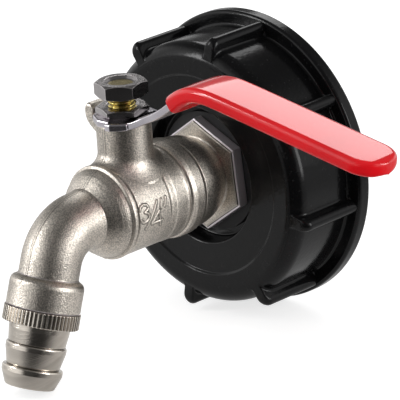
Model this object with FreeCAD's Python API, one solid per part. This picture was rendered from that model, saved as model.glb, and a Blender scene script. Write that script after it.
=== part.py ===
import FreeCAD, Part
import math
import os

# Tank valve: a bent-spout lever tap screwed into a ribbed tank cap.
# Millimetres, +Z up. The valve's axis is Y: the tank is at +Y, the spout at -Y, and the
# lever points to +X (shut). The origin is the centre of the cap's open rear face.

V = FreeCAD.Vector

# Distances called deep run from the cap's rear face towards the spout, so y = -deep.

# cap
flange_r = 42.6
flange_t = 4.3
edge = 0.8                    # small chamfer on turned and moulded rims
cap_body_r = 38.2
cap_depth = 25.3
cap_round = 4.5
thread_hole_r = 28.6          # crest radius of the tank thread
thread_hole_len = 12.2
gasket_t = 2.2
gasket_r = 28.0
gasket_in_r = 20.5
hex_recess_clear = 2.6        # from the washer's rim to the recess's wall
hex_recess_depth = 6.0
face_step_in = 8.7            # from the body's side to the step on the front face
face_step = 0.6
rib_count = 8
rib_phase = 34.2              # degrees from +X
rib_w = 3.6
rib_out_r = 41.9
rib_nose_r = 2.4

# inlet piece
run = 0.06                    # running fit, radial
stub_r = 13.1                 # 3/4 inch pipe thread
washer_t = 1.2
washer_rim = 1.12             # washer beyond the hexagon's corners
hex_af = 28.2
hex_t = 3.9
hex_turn = 35.4               # degrees
inlet_neck_r = 13.3           # beside the barrel
inlet_root_r = 10.4           # where its dome meets the hexagon
inlet_neck_flat = 2.4
inlet_neck_len = 10.8
inlet_bore_r = 7.4
plug_len = 6.2                # thread inside the barrel
plug_wall = 0.7               # plug radius beyond the chamber's

# ball, seats and barrel
ball_r = 9.8
ball_bore_r = 6.0
ball_room = 1.4               # chamber radius beyond the ball's
ball_end_room = 1.1
barrel_wall = 2.2
ridge = 0.75                  # band at the barrel's mouth
band_len = 6.0
seat_gap = 0.3
seat_inner_end = 4.6          # from the stem's axis
dome_len = 6.4

# stem and neck
stem_r = 4.0
collar_r = 5.6
collar_t = 1.3
lift = 0.2                    # small gap between stacked moving pieces
thrust_t = 0.9
ring_t = 1.0
ring_deep = 0.9
ring_above = 0.7
packing_above = 2.5
packing_w = 1.9
packing_t = 2.0
gland_t = 3.4
neck_wall = 1.8
tongue_w = 2.6
tongue_len = 8.0
tongue_deep = 2.4
thread_less = 0.1             # thread radius below the stem's
flat_half = 3.1
lug_in = 9.2                  # stop lug, from the stem's axis
lug_out = 12.6
lug_half = 2.7
stop_gap = 0.3

# lever
plate_t = 2.0
hub_r = 8.6
hub_arm_x = 8.2
nut_af = 13.0
nut_turn = 40.7
jam_nut_t = 2.3
stem_shows = 2.8              # bare stem between the nuts
lock_nut_t = 4.2
stem_below_top = 0.8
sleeve_w = 15.4
sleeve_start_w = 12.6
sleeve_t = 4.4
sleeve_corner = 1.7
sleeve_wall = 1.3             # vinyl beside the steel
plate_arm_w = 12.4
# centre line of the arm: x, and height above the hub's middle
lever_path = [(7.8, 0.0), (9.6, 0.7), (12.0, 2.3), (18.0, 6.1), (23.5, 9.5), (28.5, 12.1), (33.0, 13.6),
              (37.5, 13.9), (42.0, 13.4), (55.0, 11.2), (75.0, 7.7), (90.0, 5.1), (97.4, 3.85)]
sleeve_start_x = 15.2
plate_short = 4.4             # steel ends this far inside the sleeve's tip

# spout, socket and hose tail
spout_tilt = math.radians(19.4)      # from vertical, leaning away from the tank
spout_r = 8.35
spout_bore_r = 5.6
spout_reach = 16.9                   # from the chamber's end to the corner of the two runs
bend_r = 12.0
spout_drop = 14.0                    # from that corner to the socket
socket_len = 7.55
socket_wall = 1.85
socket_depth = 8.0
knurl_len = 4.4
knurl_proud = 0.3
tail_len = 21.7                      # from the socket's face to the tip
tail_thread_r = 8.38                 # 3/8 inch pipe thread
tail_thread_len = 6.6
tail_thread_run = 0.07
tail_bore_r = 4.7
tail_washer_t = 1.2
tail_barb_r = 8.4
tail_barb_lip = 1.5                  # each barb keeps its full radius this far
# each barb: where it starts after the knurl, and the radius that it falls to
tail_barbs = [(0.0, 7.95), (5.5, 7.4), (11.75, 6.95)]

# sizes that follow
inner_end = thread_hole_len + gasket_t
recess_floor = cap_depth - hex_recess_depth
hex_corner_r = hex_af / math.sqrt(3.0)
washer_r = hex_corner_r + washer_rim
hex_recess_r = washer_r + hex_recess_clear
hex_back = recess_floor + washer_t
hex_front = hex_back + hex_t
mouth = hex_front + inlet_neck_len           # barrel's open end
plug_end = mouth + plug_len
chamber_half = ball_r + ball_end_room
stem_deep = plug_end + chamber_half
stem_y = -stem_deep
chamber_end = stem_deep + chamber_half
chamber_r = ball_r + ball_room
seat_r = chamber_r - stop_gap / 3
plug_r = chamber_r + plug_wall
barrel_r = chamber_r + barrel_wall
ridge_r = barrel_r + ridge
spout_corner_y = -(chamber_end + spout_reach)
collar_z = (chamber_r + lift, chamber_r + lift + collar_t)
thrust_z = (collar_z[1] + lift / 2, collar_z[1] + lift / 2 + thrust_t)
ring_z = (thrust_z[1] + ring_above, thrust_z[1] + ring_above + ring_t)
packing_z = thrust_z[1] + packing_above
packing_r = stem_r + packing_w
gland_z = packing_z + 2 * packing_t
neck_top_z = gland_z + gland_t + stop_gap
neck_r = packing_r + neck_wall
plate_z = neck_top_z + lift
plate_top = plate_z + plate_t
jam_top = plate_top + jam_nut_t
lock_z = (jam_top + stem_shows, jam_top + stem_shows + lock_nut_t)
stem_top_z = lock_z[1] - stem_below_top
thread_r = stem_r - thread_less
tongue_low_z = ball_r - tongue_deep
socket_s = (spout_drop, spout_drop + socket_len)
socket_bore_r = tail_thread_r + tail_thread_run
socket_r = socket_bore_r + socket_wall
knurl_r = socket_r + knurl_proud
stop = lug_half + stop_gap


def turned(profile, base, axis_dir, side_dir):
    """Solid of revolution. profile: (distance along the axis, radius) pairs, a closed outline."""
    a = V(*axis_dir).normalize()
    s = V(*side_dir).normalize()
    b = V(*base)
    pts = [b + a * d + s * r for d, r in profile]
    wire = Part.makePolygon(pts + [pts[0]])
    return Part.Face(wire).revolve(b, a, 360.0)


def about_y(profile):
    """profile: (depth in front of the rear face, radius)."""
    return turned(profile, (0, 0, 0), (0, -1, 0), (1, 0, 0))


def about_stem(profile):
    """profile: (z, radius) about the stem axis."""
    return turned(profile, (0, stem_y, 0), (0, 0, 1), (1, 0, 0))


spout_dir = V(0, -math.sin(spout_tilt), -math.cos(spout_tilt))
spout_side = V(1, 0, 0)


def about_spout(profile):
    """profile: (distance along the spout from its corner, radius)."""
    return turned(profile, (0, spout_corner_y, 0), tuple(spout_dir), tuple(spout_side))


def arc_pts(cx, cy, r, a0, a1, n):
    return [(cx + r * math.cos(math.radians(a0 + (a1 - a0) * i / n)),
             cy + r * math.sin(math.radians(a0 + (a1 - a0) * i / n))) for i in range(n + 1)]


def hexagon(af, turn):
    r = af / math.sqrt(3.0)
    return [(r * math.cos(math.radians(turn + 60 * i)), r * math.sin(math.radians(turn + 60 * i)))
            for i in range(6)]


def prism(pts3, along):
    pts = [V(*p) for p in pts3]
    return Part.Face(Part.makePolygon(pts + [pts[0]])).extrude(V(*along))


def cap():
    f = cap_round
    step_r = cap_body_r - face_step_in
    outer = [(0.0, 0.0), (0.0, flange_r - edge), (edge, flange_r), (flange_t - edge, flange_r),
             (flange_t, flange_r - edge), (flange_t + 1.0, cap_body_r + 1.0),
             (flange_t + 2.4, cap_body_r)]
    outer += [(cap_depth - f + f * math.sin(math.radians(t)), cap_body_r - f + f * math.cos(math.radians(t)))
              for t in range(0, 91, 15)]
    outer += [(cap_depth, step_r), (cap_depth - face_step, step_r - face_step), (cap_depth - face_step, 0.0)]
    shape = about_y(outer)
    h = rib_w / 2
    front = cap_depth - 0.3
    root = cap_body_r - rib_w
    for i in range(rib_count):
        pts = [(root, -h), (rib_out_r - h, -h)] + arc_pts(rib_out_r - h, 0, h, -70, 70, 6) + \
              [(rib_out_r - h, h), (root, h)]
        rib = prism([(x, -1.0, z) for x, z in pts], (0, 1.0 - front, 0))
        # rounded front end, seen from the side
        n = rib_nose_r
        nose = prism([(x, y, -h - 1) for x, y in
                      [(root / 2, 0), (root / 2, n - front), (cap_body_r - 1.0, -front)] +
                      [(rib_out_r - n + n * math.cos(math.radians(t)), n - front - n * math.sin(math.radians(t)))
                       for t in (90, 60, 30, 0)] + [(rib_out_r, 0)]], (0, 0, rib_w + 2))
        rib = rib.common(nose)
        rib.rotate(V(0, 0, 0), V(0, -1, 0), rib_phase + 360.0 / rib_count * i)
        shape = shape.fuse(rib)
    # thread hole and gasket seat from the tank side, hexagon recess in front
    shape = shape.cut(about_y([(-1, 0), (-1, thread_hole_r), (thread_hole_len, thread_hole_r),
                               (thread_hole_len, gasket_r), (inner_end, gasket_r), (inner_end, 0)]))
    shape = shape.cut(about_y([(recess_floor, 0), (recess_floor, hex_recess_r - face_step),
                               (cap_depth, hex_recess_r), (cap_depth + 1, hex_recess_r), (cap_depth + 1, 0)]))
    shape = shape.cut(about_y([(0, 0), (0, stub_r + run), (cap_depth, stub_r + run), (cap_depth, 0)]))
    return shape.removeSplitter()


def inlet_piece():
    start = inner_end + 0.4
    # the neck is a dome: part of an ellipse that is level at the barrel and falls to the hexagon
    level = mouth - inlet_neck_flat
    far = (level - hex_front) / math.sqrt(1 - (inlet_root_r / inlet_neck_r) ** 2)
    dome = []
    for i in range(8):
        d = hex_front + (level - hex_front) * i / 7
        dome.append((d, inlet_neck_r * math.sqrt(1 - ((level - d) / far) ** 2)))
    shape = about_y([(start, 0), (start, stub_r - 0.7), (start + 0.7, stub_r), (hex_back, stub_r),
                     (hex_back, inlet_root_r), *dome, (mouth, inlet_neck_r), (mouth, plug_r),
                     (plug_end - 0.5, plug_r), (plug_end, plug_r - 0.5), (plug_end, 0)])
    hexa = prism([(x, -hex_back, z) for x, z in hexagon(hex_af, hex_turn)], (0, -hex_t, 0))
    rc = hex_corner_r
    chamfer = about_y([(hex_back, 0), (hex_back, rc - 1.5), (hex_back + 0.9, rc + 0.01),
                       (hex_front - 0.3, rc + 0.01), (hex_front, rc - 0.7), (hex_front, 0)])
    shape = shape.fuse(hexa.common(chamfer))
    through = about_y([(0, 0), (0, inlet_bore_r), (plug_end + 1, inlet_bore_r), (plug_end + 1, 0)])
    return shape.cut(through).removeSplitter()


def spout_solid(r, s_end, start):
    """Pipe along the valve's axis from a depth, round the bend and down to s_end."""
    t = bend_r * math.tan((math.pi / 2 - spout_tilt) / 2)
    ya = spout_corner_y + t
    first = Part.makeCylinder(r, -start - ya, V(0, -start, 0), V(0, -1, 0))
    ring = Part.Face(Part.Wire(Part.makeCircle(r, V(0, ya, 0), V(0, 1, 0))))
    bend = ring.revolve(V(0, ya, -bend_r), V(1, 0, 0), 90 - math.degrees(spout_tilt))
    p = V(0, spout_corner_y, 0) + spout_dir * t
    last = Part.makeCylinder(r, s_end - t, p, spout_dir)
    return first.fuse(bend).fuse(last)


def tap_body():
    # barrel with the band at its mouth, and the dome that carries the spout
    band = mouth + band_len
    last = chamber_end - 2.0
    outer = [(mouth, 0), (mouth, ridge_r - 0.7), (mouth + 0.4, ridge_r - 0.2), (mouth + 1.2, ridge_r),
             (band - 1.8, ridge_r), (band - 0.5, ridge_r - 0.25), (band, barrel_r), (last, barrel_r),
             (last + 0.3, barrel_r - 0.35), (last + 0.6, barrel_r - 0.35), (last + 0.9, barrel_r + 0.1),
             (last + 1.7, barrel_r)]
    # the dome falls from the barrel to the spout
    fall = [(0.3, 0.8), (1.6, 1.4), (2.4, 1.8), (3.6, 2.7), (4.7, 3.7), (5.6, 4.5)]
    outer += [(chamber_end + d, barrel_r - f) for d, f in fall]
    outer += [(chamber_end + dome_len, spout_r - 0.05), (chamber_end + dome_len, 0)]
    shape = about_y(outer)
    s0, s1 = socket_s
    shape = shape.fuse(spout_solid(spout_r, s0 + 1.0, chamber_end + 2.8))
    socket = [(s0 - 1.6, 0), (s0 - 1.6, spout_r - 0.2), (s0 - 1.1, spout_r + 0.4), (s0 - 0.6, spout_r + 1.2),
              (s0 + 0.1, socket_r - 0.25), (s0 + 1.0, socket_r), (s1, socket_r), (s1, 0)]
    shape = shape.fuse(about_spout(socket))
    low = barrel_r - 1.8
    neck = [(2.0, 0), (2.0, neck_r + 2.9), (low, neck_r + 2.7), (low + 1.4, neck_r + 1.4), (low + 3.0, neck_r + 0.5),
            (low + 4.8, neck_r), (neck_top_z - 0.4, neck_r), (neck_top_z, neck_r - 0.4), (neck_top_z, 0)]
    shape = shape.fuse(about_stem(neck))
    # stop lug beside the neck, rising past the lever plate
    base = neck_top_z - 8.0
    plan = [(-4.0, -lug_half), (-lug_in, -lug_half), (0.7 - lug_out, 0.3 - lug_half), (-lug_out, 1.0 - lug_half),
            (-lug_out, lug_half - 1.0), (0.7 - lug_out, lug_half - 0.3), (-lug_in, lug_half), (-4.0, lug_half)]
    lug = prism([(x, stem_y + y, base) for x, y in plan], (0, 0, plate_top + 3 - base))
    side = prism([(x, stem_y - lug_out, z) for x, z in
                  [(-4.0, neck_top_z - 5.9), (-neck_r + 1.0, neck_top_z - 5.3), (-neck_r - 0.7, neck_top_z - 4.5),
                   (1.6 - lug_out, neck_top_z - 2.9), (0.6 - lug_out, neck_top_z - 1.7), (-lug_out, neck_top_z - 0.3),
                   (-lug_out, plate_top + 0.1), (0.6 - lug_out, plate_top + 1.0), (1.4 - lug_out, plate_top + 1.4),
                   (2.4 - lug_out, plate_top + 1.3), (-lug_in, plate_top + 0.6), (-lug_in, neck_top_z),
                   (-4.0, neck_top_z)]], (0, 2 * lug_out, 0))
    shape = shape.fuse(lug.common(side))
    # waterway, ball chamber, stem hole and packing bore
    shape = shape.cut(about_y([(mouth - 1, 0), (mouth - 1, plug_r + run), (plug_end + lift, plug_r + run),
                               (plug_end + lift, chamber_r), (chamber_end, chamber_r),
                               (chamber_end, spout_bore_r), (chamber_end + 2.8, spout_bore_r),
                               (chamber_end + 2.8, 0)]))
    shape = shape.cut(spout_solid(spout_bore_r, s1 + 1.0, chamber_end + 0.8))
    shape = shape.cut(about_spout([(s1 - socket_depth, 0), (s1 - socket_depth, socket_bore_r),
                                   (s1 + 1, socket_bore_r), (s1 + 1, 0)]))
    room = collar_r + stop_gap
    shape = shape.cut(about_stem([(2.0, 0), (2.0, room), (thrust_z[1], room), (thrust_z[1], stem_r + run),
                                  (packing_z, stem_r + run), (packing_z, packing_r),
                                  (neck_top_z + 1, packing_r), (neck_top_z + 1, 0)]))
    return shape.removeSplitter()


def ball():
    side = ball_r * 2
    s = Part.makeSphere(ball_r, V(0, stem_y, 0))
    s = s.cut(Part.makeCylinder(ball_bore_r, 2 * side, V(-side, stem_y, 0), V(1, 0, 0)))
    wide = tongue_w + stop_gap
    return s.cut(Part.makeBox(2 * side, wide, side, V(-side, stem_y - wide / 2, tongue_low_z - stop_gap)))


def seat(outer_end, inner_face):
    lo, hi = min(outer_end, inner_face), max(outer_end, inner_face)
    hole = ball_bore_r + stop_gap
    r = about_y([(lo, hole), (lo, seat_r), (hi, seat_r), (hi, hole)])
    return r.cut(Part.makeSphere(ball_r + seat_gap, V(0, stem_y, 0)))


def stem():
    shape = about_stem([(collar_z[0], 0), (collar_z[0], collar_r), (collar_z[1], collar_r), (collar_z[1], stem_r),
                        (ring_z[0], stem_r), (ring_z[0], stem_r - ring_deep), (ring_z[1], stem_r - ring_deep),
                        (ring_z[1], stem_r), (neck_top_z, stem_r), (neck_top_z, thread_r),
                        (stem_top_z - 0.5, thread_r), (stem_top_z, thread_r - 0.5), (stem_top_z, 0)])
    # two flats hold the lever plate
    wide = 4 * stem_r
    flat = Part.makeBox(wide, wide, plate_t + lift, V(-wide / 2, stem_y + flat_half, plate_z - lift / 2))
    shape = shape.cut(flat)
    flat.translate(V(0, -2 * flat_half - wide, 0))
    shape = shape.cut(flat)
    tongue = Part.makeBox(tongue_len, tongue_w, collar_z[0] - tongue_low_z + lift,
                          V(-tongue_len / 2, stem_y - tongue_w / 2, tongue_low_z))
    return shape.fuse(tongue).removeSplitter()


plate_mid_z = plate_z + plate_t / 2
tip_x = lever_path[-1][0]


def lever_at(x):
    """Centre point and direction of the lever's arm at a given x."""
    n = len(lever_path)
    slope = [0.0]
    for i in range(1, n):
        x0, z0 = lever_path[i - 1]
        x1, z1 = lever_path[min(i + 1, n - 1)]
        slope.append((z1 - z0) / (x1 - x0))
    i = 0
    while i < n - 2 and x > lever_path[i + 1][0]:
        i += 1
    x0, z0 = lever_path[i]
    x1, z1 = lever_path[i + 1]
    h = x1 - x0
    t = (x - x0) / h
    z = (z0 * (1 + 2 * t) * (1 - t) ** 2 + slope[i] * h * t * (1 - t) ** 2 +
         z1 * t * t * (3 - 2 * t) + slope[i + 1] * h * t * t * (t - 1))
    s = slope[i] * (1 - t) + slope[i + 1] * t
    d = math.hypot(1, s)
    return (x, plate_mid_z + z), (1 / d, s / d)


def section(x, width, thick, corner, steps=4, flat=False):
    """Closed section across the lever's arm: a rectangle with rounded corners."""
    if flat:
        (cx, cz), (tx, tz) = (x, plate_mid_z), (1.0, 0.0)
    else:
        (cx, cz), (tx, tz) = lever_at(x)
    hw, ht = width / 2 - corner, thick / 2 - corner
    pts = []
    for qa, sx, sy in ((0, 1, 1), (90, -1, 1), (180, -1, -1), (270, 1, -1)):
        for i in range(steps + 1):
            a = math.radians(qa + 90.0 * i / steps)
            u = sx * hw + corner * math.cos(a)
            w = sy * ht + corner * math.sin(a)
            pts.append(V(cx - tz * w, stem_y + u, cz + tx * w))
    return Part.makePolygon(pts + [pts[0]])


def sleeve_width(x):
    grow = min(max((x - sleeve_start_x) / 20.0, 0.0), 1.0)
    grow = grow * grow * (3 - 2 * grow)
    return sleeve_start_w + (sleeve_w - sleeve_start_w) * grow


def arm_width(x):
    return min(sleeve_width(max(x, sleeve_start_x)) - 2 * sleeve_wall, plate_arm_w)


def lever_sleeve():
    xs = [sleeve_start_x, sleeve_start_x + 0.7]
    x = sleeve_start_x + 3.0
    while x < tip_x * 0.45:
        xs.append(x)
        x += 2.6
    nose = sleeve_w / 2
    last = tip_x - nose
    xs += [xs[-1] + (last - xs[-1]) * k / 5 for k in range(1, 5)]
    rings = []
    for x in xs:
        less = edge if x == sleeve_start_x else 0.0
        rings.append(section(x, sleeve_width(x) - less, sleeve_t - less, sleeve_corner - less / 2.7))
    n = 7
    for i in range(n):
        a = math.radians(90.0 * i / (n - 0.45))
        thin = sleeve_t * (1.0 if i < 4 else 1.0 - 0.10 * (i - 3))
        rings.append(section(last + nose * math.sin(a), max(sleeve_w * math.cos(a), 0.3 * sleeve_w), thin,
                             min(sleeve_corner, thin / 2 - 0.05)))
    return Part.makeLoft(rings, True, True)


def arm():
    root = lever_path[0][0]
    end = tip_x - plate_short
    half = plate_arm_w / 2
    rings = [section(root - 1.0, arm_width(0) + 3.3, plate_t, 0.1, 1, True)]
    for x in [root + 0.2, root + 1.4, root + 2.6, root + 4.2, root + 6.2]:
        rings.append(section(x, arm_width(x) + max(0, root + 5.2 - x) * 0.55, plate_t, 0.1, 1))
    x = root + 9.2
    while x < tip_x * 0.45:
        rings.append(section(x, arm_width(x), plate_t, 0.1, 1))
        x += 3.1
    for k in range(1, 4):
        xk = x + (end - half - x) * k / 4
        rings.append(section(xk, arm_width(xk), plate_t, 0.1, 1))
    for i in range(1, 5):
        a = math.radians(22.0 * i)
        rings.append(section(end - half + half * math.sin(a), 2 * half * math.cos(a), plate_t, 0.1, 1))
    return Part.makeLoft(rings, True, True)


def lever_plate():
    # hub outline from the stem's axis: a rough hexagon with a stop ear on each side
    r = hub_r
    hub = [(hub_arm_x, -0.78 * r), (hub_arm_x, 0.8 * r), (0.11 * r, r), (-0.45 * r, r), (-r, 0.7 * r), (-r, stop),
           (-0.93 * r, 0.0), (-0.91 * r, -stop), (-0.67 * r, -0.7 * r), (-0.16 * r, -r), (stop, -0.97 * r),
           (stop + 0.05, -lug_in - 1.1), (stop + 1.8, -lug_in - 0.9), (stop + 4.2, -0.96 * r)]
    plate = prism([(x, stem_y + y, plate_z) for x, y in hub], (0, 0, plate_t))
    # the ear that is bent up beside the lug
    out = lug_out - 0.4
    ear = Part.makeBox(out - r + 0.2, 2.0, plate_t + 1.9, V(-out, stem_y + stop, plate_z))
    foot = Part.makeBox(out - r + 1.0, 4.0, plate_t, V(-out, stem_y + stop, plate_z))
    shape = plate.fuse(arm()).fuse(ear).fuse(foot).removeSplitter()
    play = lift / 6
    hole = about_stem([(0, 0), (0, stem_r + play), (plate_top + 5, stem_r + play), (plate_top + 5, 0)])
    wide = 4 * stem_r
    flats = Part.makeBox(wide, 2 * (flat_half + play), plate_top + 5, V(-wide / 2, stem_y - flat_half - play, 0))
    return shape.cut(hole.common(flats))


def nut(z0, z1):
    r = nut_af / math.sqrt(3.0)
    body = prism([(x, stem_y + y, z0) for x, y in hexagon(nut_af, nut_turn)], (0, 0, z1 - z0))
    round_off = about_stem([(z0, 0), (z0, r - 0.9), (z0 + 0.55, r + 0.01), (z1 - 0.6, r + 0.01), (z1, r - 1.0), (z1, 0)])
    return body.common(round_off).cut(ring_stem(z0 - 1, z1 + 1, thread_r, 0))


def hose_tail():
    s1 = socket_s[1]
    k = s1 + knurl_len
    end = s1 + tail_len
    top = s1 - tail_thread_len
    prof = [(top, 0), (top, tail_thread_r - 0.6), (top + 0.6, tail_thread_r), (s1 + 0.1, tail_thread_r),
            (s1 + 0.1, knurl_r - 0.4), (s1 + 0.5, knurl_r), (k - 0.5, knurl_r), (k, knurl_r - 0.5)]
    starts = [k + start for start, low in tail_barbs] + [end - 0.4]
    for i, (start, low) in enumerate(tail_barbs):
        prof += [(starts[i], tail_barb_r - 0.15), (starts[i] + 0.3, tail_barb_r),
                 (starts[i] + tail_barb_lip, tail_barb_r), (starts[i + 1], low)]
    prof += [(end, tail_barbs[-1][1] - 0.4), (end, 0)]
    shape = about_spout(prof)
    return shape.cut(about_spout([(0, 0), (0, tail_bore_r), (end + 9, tail_bore_r), (end + 9, 0)])).removeSplitter()


def ring_y(d0, d1, ro, ri):
    return about_y([(d0, ri), (d0, ro), (d1, ro), (d1, ri)])


def ring_stem(z0, z1, ro, ri):
    return about_stem([(z0, ri), (z0, ro), (z1, ro), (z1, ri)])


def tail_washer():
    s0 = socket_s[1] - socket_depth
    r = tail_thread_r - lift
    ri = tail_bore_r + 1.2
    return about_spout([(s0, ri), (s0, r), (s0 + tail_washer_t, r), (s0 + tail_washer_t, ri)])


pieces = {
    "tank_cap": cap(),
    "tank_gasket": ring_y(thread_hole_len, inner_end, gasket_r, gasket_in_r),
    "inlet_washer": ring_y(recess_floor, hex_back, washer_r, stub_r + run),
    "inlet_piece": inlet_piece(),
    "tap_body": tap_body(),
    "seat_inlet": seat(plug_end, stem_deep - seat_inner_end),
    "seat_outlet": seat(stem_deep + seat_inner_end, chamber_end),
    "ball": ball(),
    "stem": stem(),
    "stem_ring": ring_stem(ring_z[0], ring_z[1], stem_r, stem_r - ring_deep),
    "thrust_washer": ring_stem(thrust_z[0], thrust_z[1], collar_r + 0.1, stem_r + stop_gap),
    "packing_low": ring_stem(packing_z, packing_z + packing_t, packing_r, stem_r + run),
    "packing_high": ring_stem(packing_z + packing_t, gland_z, packing_r, stem_r + run),
    "gland_nut": ring_stem(gland_z, gland_z + gland_t, packing_r, stem_r + run),
    "lever_plate": lever_plate(),
    "jam_nut": nut(plate_top, jam_top),
    "lock_nut": nut(lock_z[0], lock_z[1]),
    "tail_washer": tail_washer(),
    "hose_tail": hose_tail(),
}
pieces["lever_sleeve"] = lever_sleeve().cut(pieces["lever_plate"])

os.makedirs("parts", exist_ok=True)
for name, shape in pieces.items():
    if len(shape.Solids) == 1:
        shape = shape.Solids[0]
    print(name, len(shape.Solids), "solid, valid:", shape.isValid(), "volume", round(shape.Volume, 1))
    shape.exportStep("parts/%s.step" % name)
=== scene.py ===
"""Looks of a lever tap in a ribbed tank cap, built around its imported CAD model.

The valve's axis is Y with the tank at +Y, the stem's axis is Z, and lengths in this file are
millimetres until a mesh is written. Laid out as an add-on and run as a script.
"""

import math

import bpy
import numpy as np
from bpy.props import FloatProperty, FloatVectorProperty, IntProperty, PointerProperty
from mathutils import Matrix, Vector


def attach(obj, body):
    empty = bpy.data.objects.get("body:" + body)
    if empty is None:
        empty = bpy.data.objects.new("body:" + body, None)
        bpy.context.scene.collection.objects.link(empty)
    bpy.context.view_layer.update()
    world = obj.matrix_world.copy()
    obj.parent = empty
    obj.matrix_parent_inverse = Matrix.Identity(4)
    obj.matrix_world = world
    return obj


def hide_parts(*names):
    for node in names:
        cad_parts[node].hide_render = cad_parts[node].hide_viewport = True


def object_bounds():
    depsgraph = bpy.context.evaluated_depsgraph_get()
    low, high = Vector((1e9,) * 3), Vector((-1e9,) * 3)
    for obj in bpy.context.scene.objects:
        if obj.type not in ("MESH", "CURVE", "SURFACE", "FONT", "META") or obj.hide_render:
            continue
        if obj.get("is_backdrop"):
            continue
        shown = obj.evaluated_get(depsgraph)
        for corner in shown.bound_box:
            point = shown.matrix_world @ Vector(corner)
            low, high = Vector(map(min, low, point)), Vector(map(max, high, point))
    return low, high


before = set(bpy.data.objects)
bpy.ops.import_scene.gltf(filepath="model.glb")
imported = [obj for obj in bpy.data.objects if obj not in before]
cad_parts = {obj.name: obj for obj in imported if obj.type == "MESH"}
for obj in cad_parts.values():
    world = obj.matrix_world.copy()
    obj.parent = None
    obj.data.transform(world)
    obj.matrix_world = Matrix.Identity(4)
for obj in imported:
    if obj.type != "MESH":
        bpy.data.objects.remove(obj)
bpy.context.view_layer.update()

bl_info = {
    "name": "Tank valve",
    "version": (1, 0, 0),
    "blender": (4, 5, 0),
    "location": "View3D > Sidebar > Tank valve",
    "description": "Surfaces, finishes and studio of a lever tap in a ribbed tank cap",
    "category": "Object",
}

MM = 0.001
TAU = 2 * math.pi

# Places that the CAD model fixes, in millimetres.
STEM_Y = -52.3
MOUTH = 35.2
CHAMBER_END = 63.2
BARREL_R = 13.4
SPOUT_R = 8.35
BEND_R = 12.0
TILT = 19.4                # the spout's last run, from upright, degrees
BEND_TURN = math.radians(90 - TILT)
SPOUT_CORNER = 80.1
BEND_START = SPOUT_CORNER - BEND_R * math.tan(BEND_TURN / 2)
BEND_END = BEND_START + BEND_R * BEND_TURN
# distance along the spout's last run, from the corner of the two runs, plus this is path length
RUN_SHIFT = BEND_END - BEND_R * math.tan(BEND_TURN / 2)
PLATE_Z = 24.1
PLATE_T = 2.0
JAM_Z = (26.1, 28.4)
LOCK_Z = (31.2, 35.4)
STEM_TOP = 34.6


# Outlines and grids

def rounded(corners, closed=True, step=15.0, hold=0.12):
    """Outline with its corners turned into arcs. Each corner is (u, v, radius): the arc touches
    both neighbouring edges, and a holding point on each side of it keeps the flats flat."""
    pts = np.array([c[:2] for c in corners], float)
    out = []
    count = len(pts)
    for i, corner in enumerate(corners):
        a, b = pts[i] - pts[i - 1], pts[(i + 1) % count] - pts[i]
        la, lb = np.hypot(*a), np.hypot(*b)
        end = not closed and i in (0, count - 1)
        if end or corner[2] <= 0 or la < 1e-9 or lb < 1e-9:
            out.append(pts[i:i + 1])
            continue
        a, b = a / la, b / lb
        turn = math.atan2(a[0] * b[1] - a[1] * b[0], a @ b)
        if abs(turn) < 0.01:
            out.append(pts[i:i + 1])
            continue
        reach = min(corner[2] * abs(math.tan(turn / 2)), 0.45 * la, 0.45 * lb)
        r = reach / abs(math.tan(turn / 2))
        start = pts[i] - a * reach
        centre = start + np.array([-a[1], a[0]]) * math.copysign(r, turn)
        k = max(3, math.ceil(abs(math.degrees(turn)) / step) + 1)
        ang = math.atan2(start[1] - centre[1], start[0] - centre[0]) + np.linspace(0, turn, k)
        arc = centre + r * np.stack([np.cos(ang), np.sin(ang)], 1)
        before = [start - a * hold] if 0.5 * la > reach + hold else []
        after = [arc[-1] + b * hold] if 0.5 * lb > reach + hold else []
        out += [np.array(before).reshape(-1, 2), arc, np.array(after).reshape(-1, 2)]
    return np.concatenate(out)


def finer(outline, longest, closed=True, lo=-1e9, hi=1e9):
    """The outline with every edge whose middle lies between lo and hi along u cut into equal
    lengths no longer than longest."""
    nxt = np.roll(outline, -1, 0) if closed else outline[1:]
    here = outline if closed else outline[:-1]
    parts = []
    for p, q in zip(here, nxt):
        inside = lo < (p[0] + q[0]) / 2 < hi
        k = max(1, math.ceil(np.hypot(*(q - p)[:2]) / longest)) if inside else 1
        parts.append(p + (q - p) * np.arange(k)[:, None] / k)
    if not closed:
        parts.append(outline[-1:])
    return np.concatenate(parts)


def angles(count, dense=()):
    """Evenly spread angles round a full turn. Each of dense is (from, to, step) in degrees, and
    replaces the even ones there."""
    even = np.linspace(0, 360, count, endpoint=False)
    extra = []
    for lo, hi, step in dense:
        even = even[~(((even - lo) % 360) < (hi - lo) % 360)]
        extra.append(np.arange(lo, hi, step))
    return np.radians(np.unique(np.round(np.concatenate([even] + extra) % 360, 4)))


def round_y(depth, radius, ang):
    """Points about the valve's axis: depth runs to -Y, the angle from +X to +Z."""
    depth, radius, ang = np.broadcast_arrays(depth, radius, ang)
    return np.stack([radius * np.cos(ang), -depth, radius * np.sin(ang)], -1)


def round_stem(z, radius, ang):
    """Points about the stem's axis: the angle runs from +X to +Y."""
    z, radius, ang = np.broadcast_arrays(z, radius, ang)
    return np.stack([radius * np.cos(ang), STEM_Y + radius * np.sin(ang), z], -1)


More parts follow.
